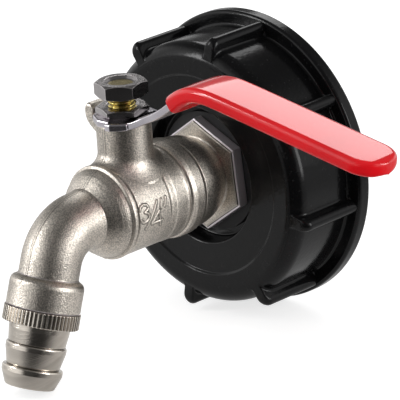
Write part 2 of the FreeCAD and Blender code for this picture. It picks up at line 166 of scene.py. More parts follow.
def round_path(along, radius, ang):
    """Points about the bent centre line: straight to -Y, an arc of BEND_R, then straight down the
    spout. The angle runs from +X to the outside of the bend, which is +Z on the first run."""
    along, radius, ang = np.broadcast_arrays(along, radius, ang)
    t = np.clip((along - BEND_START) / BEND_R, 0, BEND_TURN)
    y = -np.minimum(along, BEND_START) - BEND_R * np.sin(t)
    z = -BEND_R * (1 - np.cos(t))
    rest = np.maximum(along - BEND_END, 0)
    y = y - rest * np.cos(t)
    z = z - rest * np.sin(t)
    c, s = radius * np.cos(ang), radius * np.sin(ang)
    return np.stack([c, y - s * np.sin(t), z + s * np.cos(t)], -1)


def shell(grid, ends=False):
    """A closed surface over a rows x columns grid of points. Columns always join up. Rows join up
    too, or with ends=True the first and last row are each closed by a fan to their middle."""
    rows, cols = grid.shape[:2]
    i = np.arange(rows - 1 if ends else rows)[:, None]
    j = np.arange(cols)[None]
    i2, j2 = (i + 1) % rows, (j + 1) % cols
    quads = np.stack([i * cols + j, i * cols + j2, i2 * cols + j2, i2 * cols + j], -1).reshape(-1, 4)
    verts = grid.reshape(-1, 3)
    tris = np.zeros((0, 3), int)
    if ends:
        first, last = rows * cols, rows * cols + 1
        verts = np.concatenate([verts, grid[0].mean(0)[None], grid[-1].mean(0)[None]])
        j, j2 = j[0], j2[0]
        base = (rows - 1) * cols
        tris = np.concatenate([np.stack([np.full(cols, first), j2, j], 1),
                               np.stack([np.full(cols, last), base + j, base + j2], 1)])
    # outwards: a closed surface with its faces outwards has a positive volume
    a, b, c, d = (verts[quads[:, k]] for k in range(4))
    volume = np.einsum("ij,ij->", a, np.cross(b, c)) + np.einsum("ij,ij->", a, np.cross(c, d))
    e, f, g = (verts[tris[:, k]] for k in range(3))
    volume += np.einsum("ij,ij->", e, np.cross(f, g))
    if volume < 0:
        quads, tris = quads[:, ::-1], tris[:, ::-1]
    return verts, quads, tris


FULL_BEND = 2.2            # how strongly an edge turns, in 1/mm, where its masks are full: wear and painted highlight on convex edges, dirt and painted shade in creases


def bend_of(mesh):
    """How strongly the surface turns at each vertex, in 1/mm, convex positive: the mean over the
    edges there of the normals' change along the edge."""
    count = len(mesh.vertices)
    co, no = np.empty(count * 3), np.empty(count * 3)
    mesh.vertices.foreach_get("co", co)
    mesh.vertex_normals.foreach_get("vector", no)
    co, no = co.reshape(-1, 3) / MM, no.reshape(-1, 3)
    edge = np.empty(len(mesh.edges) * 2, int)
    mesh.edges.foreach_get("vertices", edge)
    a, b = edge.reshape(-1, 2).T
    d = co[b] - co[a]
    rate = np.einsum("ij,ij->i", no[b] - no[a], d) / np.maximum((d * d).sum(1), 1e-6)
    total = np.bincount(a, rate, count) + np.bincount(b, rate, count)
    times = np.bincount(a, minlength=count) + np.bincount(b, minlength=count)
    return total / np.maximum(times, 1)


def piece(name, shells, finish, body, replaces, masks=None, sharp=38.0):
    """One object from closed shells: writes the mesh in metres, marks as attributes the wear and
    painted highlight of its convex edges and the dirt and painted shade of its creases, gives it its
    finish and hands it to the frame."""
    verts, loops, sizes, base = [], [], [], 0
    for v, quads, tris in shells:
        verts.append(v)
        for faces in (quads, tris):
            loops.append((faces + base).ravel())
            sizes.append(np.full(len(faces), faces.shape[1]))
        base += len(v)
    verts, loops, sizes = (np.concatenate(x) for x in (verts, loops, sizes))
    mesh = bpy.data.meshes.new(name)
    mesh.vertices.add(len(verts))
    mesh.vertices.foreach_set("co", (verts * MM).ravel())
    mesh.loops.add(len(loops))
    mesh.loops.foreach_set("vertex_index", loops)
    mesh.polygons.add(len(sizes))
    mesh.polygons.foreach_set("loop_start", np.concatenate([[0], np.cumsum(sizes)[:-1]]))
    mesh.update(calc_edges=True)
    mesh.validate()
    mesh.shade_smooth()
    turn = bend_of(mesh) / FULL_BEND
    # convex edges: wear with a painted highlight; concave creases: dirt with painted shade
    layers = {"wear_and_highlight": np.clip(turn, 0, 1), "crease_dirt_and_shade": np.clip(-turn, 0, 1), **(masks or {})}
    for key, values in layers.items():
        full = np.zeros(len(mesh.vertices), np.float32)
        full[:len(values)] = values
        mesh.attributes.new(key, "FLOAT", "POINT").data.foreach_set("value", full)
    mesh.set_sharp_from_angle(angle=math.radians(sharp))
    mesh.materials.append(bpy.data.materials[finish + "_finish"])
    obj = bpy.data.objects.new(name, mesh)
    bpy.context.scene.collection.objects.link(obj)
    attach(obj, body)
    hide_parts(*replaces)


def smooth_step(x, lo, hi):
    """0 below lo, 1 above hi and an s-curve between."""
    t = np.clip((x - lo) / (hi - lo), 0, 1)
    return t * t * (3 - 2 * t)


def screw(along, ang, pitch, depth, lo, hi, hand=1.0):
    """Height of a rounded V thread: a triangle wave with cut tips along the axis, shifted by one
    pitch a turn, and faded out over half a pitch at both ends."""
    phase = (along / pitch - hand * ang / TAU) % 1.0
    wave = np.clip(1.35 * np.abs(2 * phase - 1) - 0.15, 0, 1)
    fade = smooth_step(along, lo, lo + pitch / 2) * (1 - smooth_step(along, hi - pitch / 2, hi))
    return -depth * (1 - wave) * fade


def polar(radius, ang):
    """Points of a plane by radius and angle."""
    return np.stack([radius * np.cos(ang), radius * np.sin(ang)], -1)


def spread(mask, grid):
    """A mask of rows or columns as a value for every point of the grid."""
    return np.broadcast_to(mask, grid.shape).astype(float).ravel()


def hexagon_columns(across, turn, soft=0.25, per_side=14):
    """Angles and radii of a hexagon's outline with slightly rounded corners."""
    r = across / math.sqrt(3)
    corner = np.radians(turn + 60 * np.arange(6))
    outline = rounded(np.insert(polar(r, corner), 2, soft, 1), step=20, hold=0.1)
    outline = finer(outline, r / per_side)
    return np.arctan2(outline[:, 1], outline[:, 0]), np.hypot(outline[:, 0], outline[:, 1])


# Sizes and colours that a user may change

class CapSettings(bpy.types.PropertyGroup):
    rib_soft: FloatProperty(name="Rib foot", description="Radius where a rib meets the cap's side, mm",
                            default=0.9, min=0.2, max=2.0)
    thread_depth: FloatProperty(name="Tank thread depth", description="Depth of the coarse thread, mm",
                                default=1.5, min=0.3, max=2.5)
    colour: FloatVectorProperty(name="Cap colour", description="Moulded plastic", subtype="COLOR",
                                size=3, default=(0.0036, 0.0036, 0.0039), min=0, max=1)


class MetalSettings(bpy.types.PropertyGroup):
    nickel: FloatVectorProperty(name="Nickel", description="Plating on the casting and turned parts",
                                subtype="COLOR", size=3, default=(0.69, 0.635, 0.565), min=0, max=1)
    brass: FloatVectorProperty(name="Brass", description="Bare stem", subtype="COLOR", size=3,
                               default=(0.68, 0.55, 0.19), min=0, max=1)
    knurls: IntProperty(name="Knurl ribs", description="Ribs round the tail's collar", default=56,
                        min=30, max=160)
    letter_height: FloatProperty(name="Size mark height", description="Raised pipe size, mm",
                                 default=0.26, min=0.05, max=0.5)


class LeverSettings(bpy.types.PropertyGroup):
    colour: FloatVectorProperty(name="Sleeve colour", description="Dipped vinyl", subtype="COLOR",
                                size=3, default=(0.78, 0.006, 0.012), min=0, max=1)
    crown: FloatProperty(name="Crown", description="Rise of the sleeve's flat sides, mm",
                         default=0.12, min=0.0, max=0.5)


class StudioSettings(bpy.types.PropertyGroup):
    key: FloatProperty(name="Key light", description="Strength of the large lamp, W", default=3.8,
                       min=0, max=60)
    fill: FloatProperty(name="Fill", description="World light on matt surfaces", default=0.62,
                        min=0, max=2)


# Node trees

class Web:
    """A node tree written in short calls. A value for a socket is linked when it is a socket
    itself, set when it is a number or a tuple, and None leaves the socket as it is."""

    def __init__(self, tree):
        self.tree = tree

    def put(self, socket, value):
        if isinstance(value, bpy.types.NodeSocket):
            self.tree.links.new(value, socket)
        elif value is not None:
            socket.default_value = value

    def add(self, kind, *values, **settings):
        """Adds a node with its settings, fills its inputs by place and gives its outputs."""
        made = self.tree.nodes.new("ShaderNode" + kind)
        for key, value in settings.items():
            setattr(made, key, value)
        for socket, value in zip(made.inputs, values):
            self.put(socket, value)
        return made.outputs

    def maths(self, operation, a, b):
        return self.add("Math", a, b, operation=operation)[0]

    def times(self, a, b):
        return self.maths("MULTIPLY", a, b)

    def mix(self, factor, a, b):
        """a where factor is 0 and b where it is 1: colours if one of them is, or else numbers."""
        colour = any(isinstance(v, tuple) or getattr(v, "type", "") == "RGBA" for v in (a, b))
        made = self.tree.nodes.new("ShaderNodeMix")
        made.data_type = "RGBA" if colour else "FLOAT"
        self.put(made.inputs[0], factor)
        for k, v in enumerate((a, b), 6 if colour else 2):
            self.put(made.inputs[k], (*v, 1) if isinstance(v, tuple) else v)
        return made.outputs[2 if colour else 0]

    def tint(self, factor, dark, light, lo, hi):
        """Colour ramp between two tones of a finish."""
        made = self.tree.nodes.new("ShaderNodeValToRGB")
        for stop, place, tone in zip(made.color_ramp.elements, (lo, hi), (dark, light)):
            stop.position, stop.color = place, (*tone, 1)
        self.put(made.inputs[0], factor)
        return made.outputs[0]

    def noise(self, vector, scale, detail, rough):
        return self.add("TexNoise", vector, None, scale, detail, rough)[0]

    def span(self, value, lo, hi):
        """value from 0 to 1 stretched to lo to hi."""
        return self.add("MapRange", value, None, None, lo, hi)[0]

    def rise(self, value, start, end, low=0.0, high=1.0):
        """An s-curve from low at start to high at end."""
        return self.add("MapRange", value, start, end, low, high, interpolation_type="SMOOTHSTEP")[0]

    def attribute(self, name):
        return self.add("Attribute", attribute_name=name)["Fac"]

    def effect(self, name, vector, size):
        """One of the shared node groups at that size."""
        return self.add("Group", vector, size, node_tree=bpy.data.node_groups[name])

    def object_vector(self, turn=(0, 0, 0)):
        """The piece's own coordinates, turned so that a turned part's axis lies along Z."""
        return self.add("Mapping", self.add("TexCoord")["Object"], None, turn)[0]

    def mirrored(self, ray):
        """1 where the ray comes off a glossy or clear surface."""
        return self.maths("MAXIMUM", ray["Is Glossy Ray"], ray["Is Transmission Ray"])

    def shade(self, values):
        """Fills inputs of the tree's Principled shader."""
        for name, value in values.items():
            self.put(self.tree.nodes["Principled BSDF"].inputs[name], value)

    def surface(self, base, rough, height, depth, others):
        """Feeds the shader with a colour, a roughness, a bump that is depth metres high, and others."""
        bump = self.tree.nodes.new("ShaderNodeBump")
        for name, value in {"Strength": 1.0, "Distance": depth, "Height": height}.items():
            self.put(bump.inputs[name], value)
        self.shade({"Base Color": base, "Roughness": rough, "Normal": bump.outputs[0], **others})


def shared_effect(name, size_name, size, outputs):
    """A shader node group that turns a vector and a size into floats. Gives its nodes, the sockets
    of both inputs and those of the outputs."""
    tree = bpy.data.node_groups.new(name, "ShaderNodeTree")
    tree.interface.new_socket("Vector", in_out="INPUT", socket_type="NodeSocketVector")
    given = tree.interface.new_socket(size_name, in_out="INPUT", socket_type="NodeSocketFloat")
    given.default_value = size
    for label in outputs:
        tree.interface.new_socket(label, in_out="OUTPUT", socket_type="NodeSocketFloat")
    given = tree.nodes.new("NodeGroupInput").outputs
    return Web(tree), given[0], given[1], tree.nodes.new("NodeGroupOutput").inputs


def make_effects():
    """The effects that several finishes share."""
    # sand cast grain: two sizes of noise for the height, a slow one for the tint
    web, vec, size, out = shared_effect("sand_grain", "Grain", 2600.0, ("Height", "Tint"))
    fine = web.noise(vec, size, 1.0, 0.5)
    coarse = web.noise(vec, web.times(size, 0.3), 3.0, 0.5)
    slow = web.noise(vec, web.times(size, 0.05), 3.0, 0.6)
    web.put(out[0], web.maths("ADD", fine, web.times(coarse, 0.15)))
    web.put(out[1], web.maths("ADD", web.times(slow, 0.25), web.times(fine, 0.75)))

    # lathe rings: noise that changes only along the turned axis
    web, vec, size, out = shared_effect("lathe_rings", "Rings", 5000.0, ("Height", "Tint"))
    along = web.add("SeparateXYZ", vec)[2]
    for socket, scale, detail, rough in ((out[0], size, 3.0, 0.65),
                                         (out[1], web.times(size, 0.12), 2.0, 0.5)):
        ring = web.add("TexNoise", None, along, scale, detail, rough, noise_dimensions="1D")[0]
        web.put(socket, ring)

    # handling marks: soft patches and a few small specks
    web, vec, size, out = shared_effect("handling", "Patch", 60.0, ("Patches", "Specks"))
    web.put(out[0], web.noise(vec, size, 4.0, 0.55))
    web.put(out[1], web.add("MapRange", web.noise(vec, web.times(size, 22.0), 1.0, 0.5), 0.66, 0.78)[0])


# Finishes

def scaled(colour, k):
    return tuple(min(1.0, c * k) for c in colour)


def new_web(name):
    """The nodes of a new material, named apart from the frame's own."""
    mat = bpy.data.materials.new(name + "_finish")
    mat.use_nodes = True
    return Web(mat.node_tree)


def start_finish(name, colour, skin, patch, shades, wear_and_painted_light, turn=(0, 0, 0), by_skin=False):
    """Begins a finish with a skin effect and handling patches. Its colour swings between two shades
    over a ramp, by the skin's tint or by the patches, and every mask blends in a shade of its own:
    wear with a painted highlight on edges, dirt with painted shade in creases and recesses. Gives the
    nodes, both effects and the colour."""
    web = new_web(name)
    vec = web.object_vector(turn)
    skin = web.effect(skin[0], vec, skin[1])
    marks = web.effect("handling", vec, patch) if patch else skin
    dark, light, lo, hi = shades
    base = web.tint(skin[1] if by_skin else marks[0], scaled(colour, dark), scaled(colour, light), lo, hi)
    # each mask blends its shade into the colour: painted highlight with wear on edges, painted shade with
    # dirt in creases and recesses
    for mask, shade in wear_and_painted_light.items():
        base = web.mix(web.attribute(mask), base, scaled(colour, shade))
    return web, skin, marks, base


def cast_finish(name, colour):
    """Sand cast and nickel plated: coarse sparkling grain, rubbed edges brighter with a painted highlight,
    dirt and painted shade grey in the creases, and near black where the piece marks grime and painted
    shade. Where the piece says machined, the grain gives way to hazy bright metal."""
    # lighter convex edges are wear and painted highlight; darker creases and marked places are dirt and
    # painted shade
    web, grain, marks, base = start_finish(
        name, colour, ("sand_grain", 2900.0), 90.0, (0.60, 1.20, 0.40, 0.60),
        {"crease_dirt_and_shade": 0.28, "grime_and_shade": 0.04, "wear_and_highlight": 1.25}, by_skin=True)
    smooth = web.attribute("machined")
    haze = web.tint(marks[0], (0.62, 0.565, 0.605), (0.72, 0.68, 0.70), 0.3, 0.7)
    rough = web.mix(smooth, web.span(marks[0], 0.31, 0.41), 0.33)
    height = web.times(grain[0], web.mix(smooth, 1.0, 0.06))
    metal = web.mix(smooth, 1.0, 0.72)
    web.surface(web.mix(smooth, base, haze), rough, height, 0.000105, {"Metallic": metal})


def turned_finish(name, colour, turn, rough, dark=0.35):
    """Lathe turned metal: fine rings along its axis, dirt and painted shade in the grooves, wear and a
    painted highlight on edges, and painted shade where the piece marks it.
    """
    web, ring, marks, base = start_finish(
        name, colour, ("lathe_rings", 4200.0), 110.0, (0.84, 1.06, 0.3, 0.7),
        {"crease_dirt_and_shade": dark, "wear_and_highlight": 1.25, "grime_and_shade": 0.34}, turn, by_skin=True)
    mixed = web.maths("ADD", web.times(ring[0], 0.5), web.times(marks[0], 0.5))
    web.surface(base, web.span(mixed, *rough), ring[0], 0.00002, {"Metallic": 1.0})


def plastic_finish(name, colour, rough, specular=0.5):
    """Moulded plastic or rubber: soft gloss with a faint uneven skin and a few dust specks."""
    web, skin, marks, base = start_finish(
        name, colour, ("sand_grain", 900.0), 55.0, (0.85, 1.2, 0.35, 0.65), {})
    base = web.mix(web.times(marks[1], 0.10), base, (0.12, 0.12, 0.12))
    # edges a little lighter: rubbed wear and a painted highlight
    base = web.mix(web.times(web.attribute("wear_and_highlight"), 0.15), base, tuple(c * 2 + 0.02 for c in colour))
    web.surface(base, web.span(marks[0], *rough), skin[0], 0.00003, {"Specular IOR Level": specular})


def steel_finish(name, colour, rough, depth=0.00002):
    """Plated steel: smooth with small waves, rubbed bright along its edges with a painted highlight, and
    darker with dirt and painted shade in its creases.
    """
    web, skin, marks, base = start_finish(
        name, colour, ("sand_grain", 1500.0), 150.0, (0.82, 1.1, 0.35, 0.65),
        {"crease_dirt_and_shade": 0.4, "wear_and_highlight": 1.8})
    web.surface(base, web.span(marks[0], *rough), skin[0], depth, {"Metallic": 1.0})


def vinyl_finish(name, colour):
    """Dipped vinyl: a saturated colour under a coat that is glossy on top and thin on the sides."""
    web, wave, _, base = start_finish(name, colour, ("handling", 40.0), None, (0.9, 1.08, 0.35, 0.65), {})
    coat = web.mix(web.attribute("glazed"), 0.25, 1.0)
    web.surface(base, web.span(wave[0], 0.20, 0.30), wave[0], 0.0001,
                {"Coat Weight": coat, "Coat IOR": 1.6, "Coat Roughness": 0.09, "Specular IOR Level": 0.08})


def make_finishes(scene):
    """Every finish, with the colours that the panel holds."""
    make_effects()
    nickel = tuple(scene.valve_metal.nickel)
    upright, tail = (0, 0, 0), (math.radians(-TILT), 0, 0)
    cast_finish("cast_nickel", nickel)
    turned_finish("turned_nickel_tail", scaled(nickel, 0.93), tail, (0.11, 0.22))
    turned_finish("raw_brass", tuple(scene.valve_metal.brass), upright, (0.14, 0.26), dark=0.2)
    plastic_finish("cap_plastic", tuple(scene.valve_cap.colour), (0.12, 0.20), specular=0.21)
    plastic_finish("seal_rubber", (0.02, 0.02, 0.021), (0.5, 0.7), specular=0.35)
    plastic_finish("seat_plastic", (0.78, 0.78, 0.75), (0.35, 0.5))
    steel_finish("nut_steel", (0.50, 0.475, 0.475), (0.12, 0.22))
    steel_finish("lever_steel", (0.50, 0.475, 0.51), (0.17, 0.28))
    steel_finish("ball_chrome", (0.62, 0.62, 0.63), (0.05, 0.12), depth=0.000005)
    vinyl_finish("sleeve_vinyl", tuple(scene.valve_lever.colour))


# Tank side

def cap_shell(settings):
    """Closed surface of the cap. Rows follow its profile round from the rear rim, over the outside,
    the front and the hexagon's recess, and back through the hole and the tank thread. Columns go
    round the axis. On the ribbed rows the columns of each eighth turn follow a rib's outline:
    a round nose, two flat sides and a concave foot that touches the body's circle."""
    ribs, phase, half = 8, math.radians(34.2), 1.8
    rib_out, nose_start, nose_r, rib_front, body_end = 41.9, 22.6, 2.4, 25.0, 20.8
    thread_r, thread_end = 28.6, 12.2
    # half the turn over which plain rows spread the columns that elsewhere follow a rib
    plain_turn = 0.072
    # (depth, radius) rows; the third column is how far the rib's edge is drawn in, -1 where there is
    # no rib and -2 in the threaded bore
    rim = rounded([(0.0, 30.4, 0.0), (0.0, 42.6, 0.9), (4.3, 42.6, 1.0), (4.3, 40.2, 0.0)], closed=False)
    foot = rounded([(4.3, 40.2, 0.0), (4.3, 38.2, 1.5), (body_end, 38.2, 0.0)], closed=False)[1:]
    foot = finer(foot, 3.0, closed=False)
    depth = np.concatenate([np.arange(body_end + 0.4, nose_start, 0.5), np.linspace(nose_start, 24.55, 7),
                            [24.7, 24.82, 24.91, 24.97, rib_front]])
    body_r = 33.7 + np.sqrt(4.5 ** 2 - (depth - body_end) ** 2)
    drawn = 0.45 - np.sqrt(np.maximum(0.45 ** 2 - np.maximum(depth - 24.55, 0) ** 2, 0))
    front = (body_end, 33.7) + polar(4.5, np.radians([20, 16, 12, 8, 4, 0]))
    face = rounded([(25.3, 33.6, 0.0), (25.3, 29.5, 0.35), (24.7, 28.9, 0.3), (24.7, 20.0, 0.7),
                    (19.3, 19.4, 0.5), (19.3, 13.16, 0.35), (14.4, 13.16, 0.3), (14.4, 28.0, 0.3),
                    (thread_end, 28.0, 0.0)], closed=False)
    bore = np.linspace(thread_end, 0.0, 62)
    rows = [np.insert(rim, 2, -1, 1), np.insert(foot, 2, 0, 1), np.column_stack([depth, body_r, drawn]),
            [[rib_front, body_r[-1], -1]], np.insert(np.concatenate([front, face]), 2, -1, 1),
            np.column_stack([bore, 0 * bore + thread_r, 0 * bore - 2])]
    d, r, inset = np.concatenate(rows).T[..., None]
    ribbed = inset >= 0

    # half of a rib's outline for every row, from the middle of its nose to its foot on the body
    soft = settings.rib_soft
    less = np.where(ribbed, inset, 0)
    h = half - less
    rest = np.sqrt(np.maximum(nose_r ** 2 - np.maximum(d - nose_start, 0) ** 2, 0))
    out = rib_out - np.maximum(0, nose_r - rest) - less
    cx = np.sqrt((r + soft) ** 2 - (h + soft) ** 2)
    nose_x = np.clip(out - h, cx, out)
    t = np.radians(np.linspace(0, 90, 8))
    nose = np.stack([nose_x + (out - nose_x) * np.cos(t), h * np.sin(t)], -1)
    side = np.stack([nose_x + (cx - nose_x) * np.array([0.06, 0.5, 0.94]), np.repeat(h, 3, 1)], -1)
    end = np.arctan2(h + soft, cx)
    turn = -math.pi / 2 + (end - math.pi / 2) * np.linspace(0, 1, 6)
    fillet = np.concatenate([cx, h + soft], 1)[:, None] + polar(soft, turn)
    half_rib = np.concatenate([nose, side, fillet], 1)

    wide = np.where(ribbed, end, plain_turn)
    circle = polar(r, wide * np.linspace(0, 1, half_rib.shape[1]))
    half_rib = np.where(ribbed[..., None], half_rib, circle)
    arc = polar(r, wide + (TAU / ribs - 2 * wide) * np.linspace(0, 1, 20)[1:-1])
    u, v = np.moveaxis(np.concatenate([half_rib[:, :0:-1] * [1, -1], half_rib, arc], 1), -1, 0)[:, :, None]
    # that eighth of a turn, in all its places
    a = phase + TAU / ribs * np.arange(ribs)[:, None]
    x = (u * np.cos(a) - v * np.sin(a)).reshape(len(d), -1)
    z = (u * np.sin(a) + v * np.cos(a)).reshape(len(d), -1)
    # the tank thread is cut outwards from its crests
    mouth = 1.6 * (1 - smooth_step(d, 0.0, 1.6))
    cut = mouth - screw(d, np.arctan2(z, x), 6.0, settings.thread_depth, 0.4, 11.8)
    k = 1 + np.where(inset < -1.5, cut, 0) / r
    return shell(np.stack([x * k, -d + 0 * x, z * k], -1))


class VALVE_OT_cap(bpy.types.Operator):
    """Builds the ribbed cap"""
    bl_idname = "valve.cap"
    bl_label = "Cap"

    def execute(self, context):
        piece("cap_moulding", [cap_shell(context.scene.valve_cap)], "cap_plastic", "valve",
              ["tank_cap"])
        return {"FINISHED"}


def inlet_shell():
    """Closed surface of the inlet piece: rows follow the profile from the thread in the cap over the
    hexagon and the neck to the plug in the barrel, and back through the bore. On the hexagon's rows
    the radius is the smaller of the hexagon's and a chamfer cone's, less a drawn-in step."""
    ang, hexa = hexagon_columns(28.2, 35.4, soft=0.3)
    stub = rounded([(14.8, 7.4, 0.2), (14.8, 12.3, 0.2), (15.6, 13.1, 0.2), (20.5, 13.1, 0.0)], closed=False)
    stub = finer(stub, 0.16, closed=False, lo=15.2)
    # the hexagon's rows: depth, the chamfer cone's radius, and how far the flats are drawn in
    hexagon = np.array([
        (20.5, 15.4, 0.5), (20.52, 15.55, 0.35), (20.75, 16.2, 0.06), (20.95, 17, 0), (21.1, 17, 0),
        (22.3, 17, 0), (23.4, 17, 0), (23.7, 17, 0), (23.82, 16.97, 0.03), (23.9, 16.8, 0.14),
        (23.94, 16.6, 0.42), (24.0, 16.35, 0.62), (24.14, 16.28, 0.66), (24.3, 16.1, 0.72),
        (24.4, 15.8, 0.95), (24.42, 15.4, 1.2)])
    # the neck's dome: part of an ellipse, level beside the barrel
    level, wide, root = 32.8, 13.3, 10.4
    far = (level - 24.4) / math.sqrt(1 - (root / wide) ** 2)
    dome = np.linspace(24.75, level, 18)
    dome = np.column_stack([dome, wide * np.sqrt(1 - ((level - dome) / far) ** 2)])
    face = np.array([(24.42, 12.4), (24.42, 11.7), (24.44, 11.3), (24.5, 11.0), (24.6, 10.83)])
    rest = rounded([(level + 0.3, wide, 0.0), (34.85, wide, 0.3), (35.12, 13.0, 0.1), (35.15, 11.9, 0.05),
                    (40.9, 11.9, 0.2), (41.4, 11.4, 0.2), (41.4, 7.4, 0.3), (28.0, 7.4, 0.0),
                    (14.9, 7.4, 0.0)], closed=False)
    rows = np.concatenate([stub, hexagon[:, :2], face, dome, rest])
    d, r = rows[:, :1], rows[:, 1:]
    flat, less, groove_shade = np.zeros((3, len(rows), 1))
    here = slice(len(stub), len(stub) + len(hexagon))
    flat[here], less[here] = 1, hexagon[:, 2:]
    # painted shade in the groove inside the hexagon's edge
    groove_shade[here][10:, 0] = (0.4, 0.9, 0.9, 0.9, 0.8, 0.4)
    radius = np.where(flat > 0, np.minimum(hexa - less, r), r)
    radius = radius + screw(d, ang, 1.814, 0.9, 15.2, 20.4) * ((r > 12.9) & (d < 20.45) & (flat < 1))
    smooth = (d < 23.95) | (d > 35.1) | (r < 8)
    return shell(round_y(d, radius, ang)), spread(smooth, radius), spread(groove_shade, radius)


class VALVE_OT_inlet(bpy.types.Operator):
    """Builds the inlet piece with its hexagon and pipe thread"""
    bl_idname = "valve.inlet"
    bl_label = "Inlet piece"

    def execute(self, context):
        made, smooth, groove_shade = inlet_shell()
        piece("inlet_hexagon", [made], "cast_nickel", "valve", ["inlet_piece"],
              masks={"machined": smooth, "grime_and_shade": groove_shade})
        return {"FINISHED"}


# Tap casting

# strokes of the pipe size mark on the barrel: distance from the tank side, arc length above +X
SIZE_MARK = [
    [(-60.9, 2.7), (-60.4, 3.5), (-59.3, 3.95), (-58.1, 3.6), (-57.6, 2.8), (-58.0, 2.1), (-59.2, 1.7)],
    [(-59.2, 1.7), (-58.1, 1.2), (-57.6, 0.4), (-57.9, -0.6), (-58.9, -1.2), (-60.0, -1.1), (-60.8, -0.3)],
    [(-58.9, -3.3), (-54.1, 3.6)],
    [(-53.9, 0.7), (-56.7, -2.4), (-52.7, -2.3)],
    [(-53.9, 0.7), (-53.3, -3.7)],
    [(-52.5, 3.6), (-53.1, 1.3)],
    [(-50.8, 3.8), (-51.6, 1.4)],
]


def stroke_distance(u, v):
    """Distance from each point to the nearest stroke of the size mark."""
    best = 99.0
    for line in SIZE_MARK:
        for (ax, ay), (bx, by) in zip(line[:-1], line[1:]):
            dx, dy = bx - ax, by - ay
            t = np.clip(((u - ax) * dx + (v - ay) * dy) / (dx * dx + dy * dy), 0, 1)
            best = np.minimum(best, np.hypot(u - ax - t * dx, v - ay - t * dy))
    return best


def parting_line(ang, r):
    """The mould's seam in the plane of the bend: a low ridge, and a darker band beside it. Both are
    bells over the distance from that plane along the surface."""
    off = np.abs(ang % math.pi - math.pi / 2) * r
    return 0.10 * np.exp(-(off / 0.24) ** 2), 0.35 * np.exp(-((off - 0.4) / 0.16) ** 2)


def barrel_shell(settings):
    """Closed surface carried along the bent centre line: the radius follows the profile of the
    barrel, dome, spout and socket outside, then the waterway back inside. The seam of the mould
    stands a little proud in the plane of the bend, and the size mark stands on the barrel's side."""
    at, marked_r = RUN_SHIFT, 13.3
    outer = rounded([(MOUTH, 11.96, 0.2), (MOUTH, 13.35, 0.2), (35.55, 13.9, 0.4), (36.5, 14.15, 0.8),
                     (39.4, 14.15, 1.0), (40.8, 13.9, 0.6), (41.2, 13.42, 0.2), (41.5, 13.38, 0.2),
                     (41.9, 13.5, 0.3), (42.8, 13.40, 0.5), (46.5, 13.40, 0.5), (47.0, marked_r, 0.5),
                     (61.0, marked_r, 0.35), (61.4, 12.92, 0.25), (61.85, 12.92, 0.25), (62.2, 13.5, 0.3),
                     (63.1, 13.42, 0.45), (63.55, 12.62, 0.35), (64.8, 12.15, 1.4), (66.0, 11.45, 1.6),
                     (67.2, 10.45, 1.6), (68.2, 9.45, 1.3), (69.1, 8.55, 0.45), (69.9, SPOUT_R, 0.4),
                     (at + 12.5, SPOUT_R, 0.5), (at + 13.0, 8.75, 0.35), (at + 13.45, 9.6, 0.4),
                     (at + 14.1, 10.1, 0.7), (at + 15.0, 10.3, 0.9), (at + 21.5, 10.3, 0.35),
                     (at + 21.5, 8.75, 0.2), (at + 21.1, 8.45, 0.1), (at + 13.55, 8.45, 0.1),
                     (at + 13.55, 5.6, 0.3), (CHAMBER_END, 5.6, 0.3), (CHAMBER_END, 11.2, 0.3),
                     (41.6, 11.2, 0.1), (41.6, 11.96, 0.1)])
    outer = finer(outer, 0.55, lo=BEND_START - 0.5, hi=BEND_END + 0.5)
    outer = finer(outer, 1.6, lo=43, hi=100)
    marked = (outer[:, 1] > 13.2) & (outer[:, 0] > 46.9) & (outer[:, 0] < 61.1)
    first = np.argmax(marked)
    last = len(marked) - 1 - np.argmax(marked[::-1])
    # close rows where the size mark stands
    mark_p = np.append(outer[first, 0], np.arange(47.5, 60.95, 0.17))
    outer = np.concatenate([outer[:first], np.column_stack([mark_p, 0 * mark_p + marked_r]), outer[last:]])
    ang = angles(132, dense=[(-18, 20, 0.75), (86, 94, 0.5), (266, 274, 0.5)])
    p, r = outer[:, :1], outer[:, 1:]
    # neither the waterway and chamber inside nor the sockets for the inlet piece and the tail
    outside = (r > 8.2) & ~((r > 11) & (r < 12) & (p < 42)) & (p > MOUTH + 0.4) & (np.abs(r - 8.45) > 0.04)
    outside &= ~((np.abs(r - 11.2) < 0.05) & (p < CHAMBER_END + 0.2))
    v = ((ang + math.pi) % TAU - math.pi) * BARREL_R
    near = stroke_distance(-p, v)
    here = (p > 49) & (p < 61.1) & (r > 13) & (np.abs(v) < 6)
    raised = settings.letter_height * (1 - smooth_step(near, 0.14, 0.40)) * here
    # a dark ring round the foot of each raised stroke: dirt and painted shade
    grime_and_shade = np.exp(-((near - 0.44) / 0.12) ** 2) * here
    # a shallow groove beside the neck, which dies out down the barrel's side
    raised = raised - 0.16 * np.exp(-((p - 48.7) / 0.32) ** 2) * smooth_step(v, -4.5, 1.0) * (r > 13.2)
    seam, seam_darkened = parting_line(ang, r)
    cast = outside & (p < at + 15)
    radius = r + raised + seam * cast
    # what darkens the barrel: the letters' dirt and painted shade, and the seam's darker band
    darkened = np.clip(grime_and_shade * 0.8 + seam_darkened * cast, 0, 1)
    return shell(round_path(p, radius, ang)), spread(~outside | (p > at + 21.2), radius), darkened.ravel()


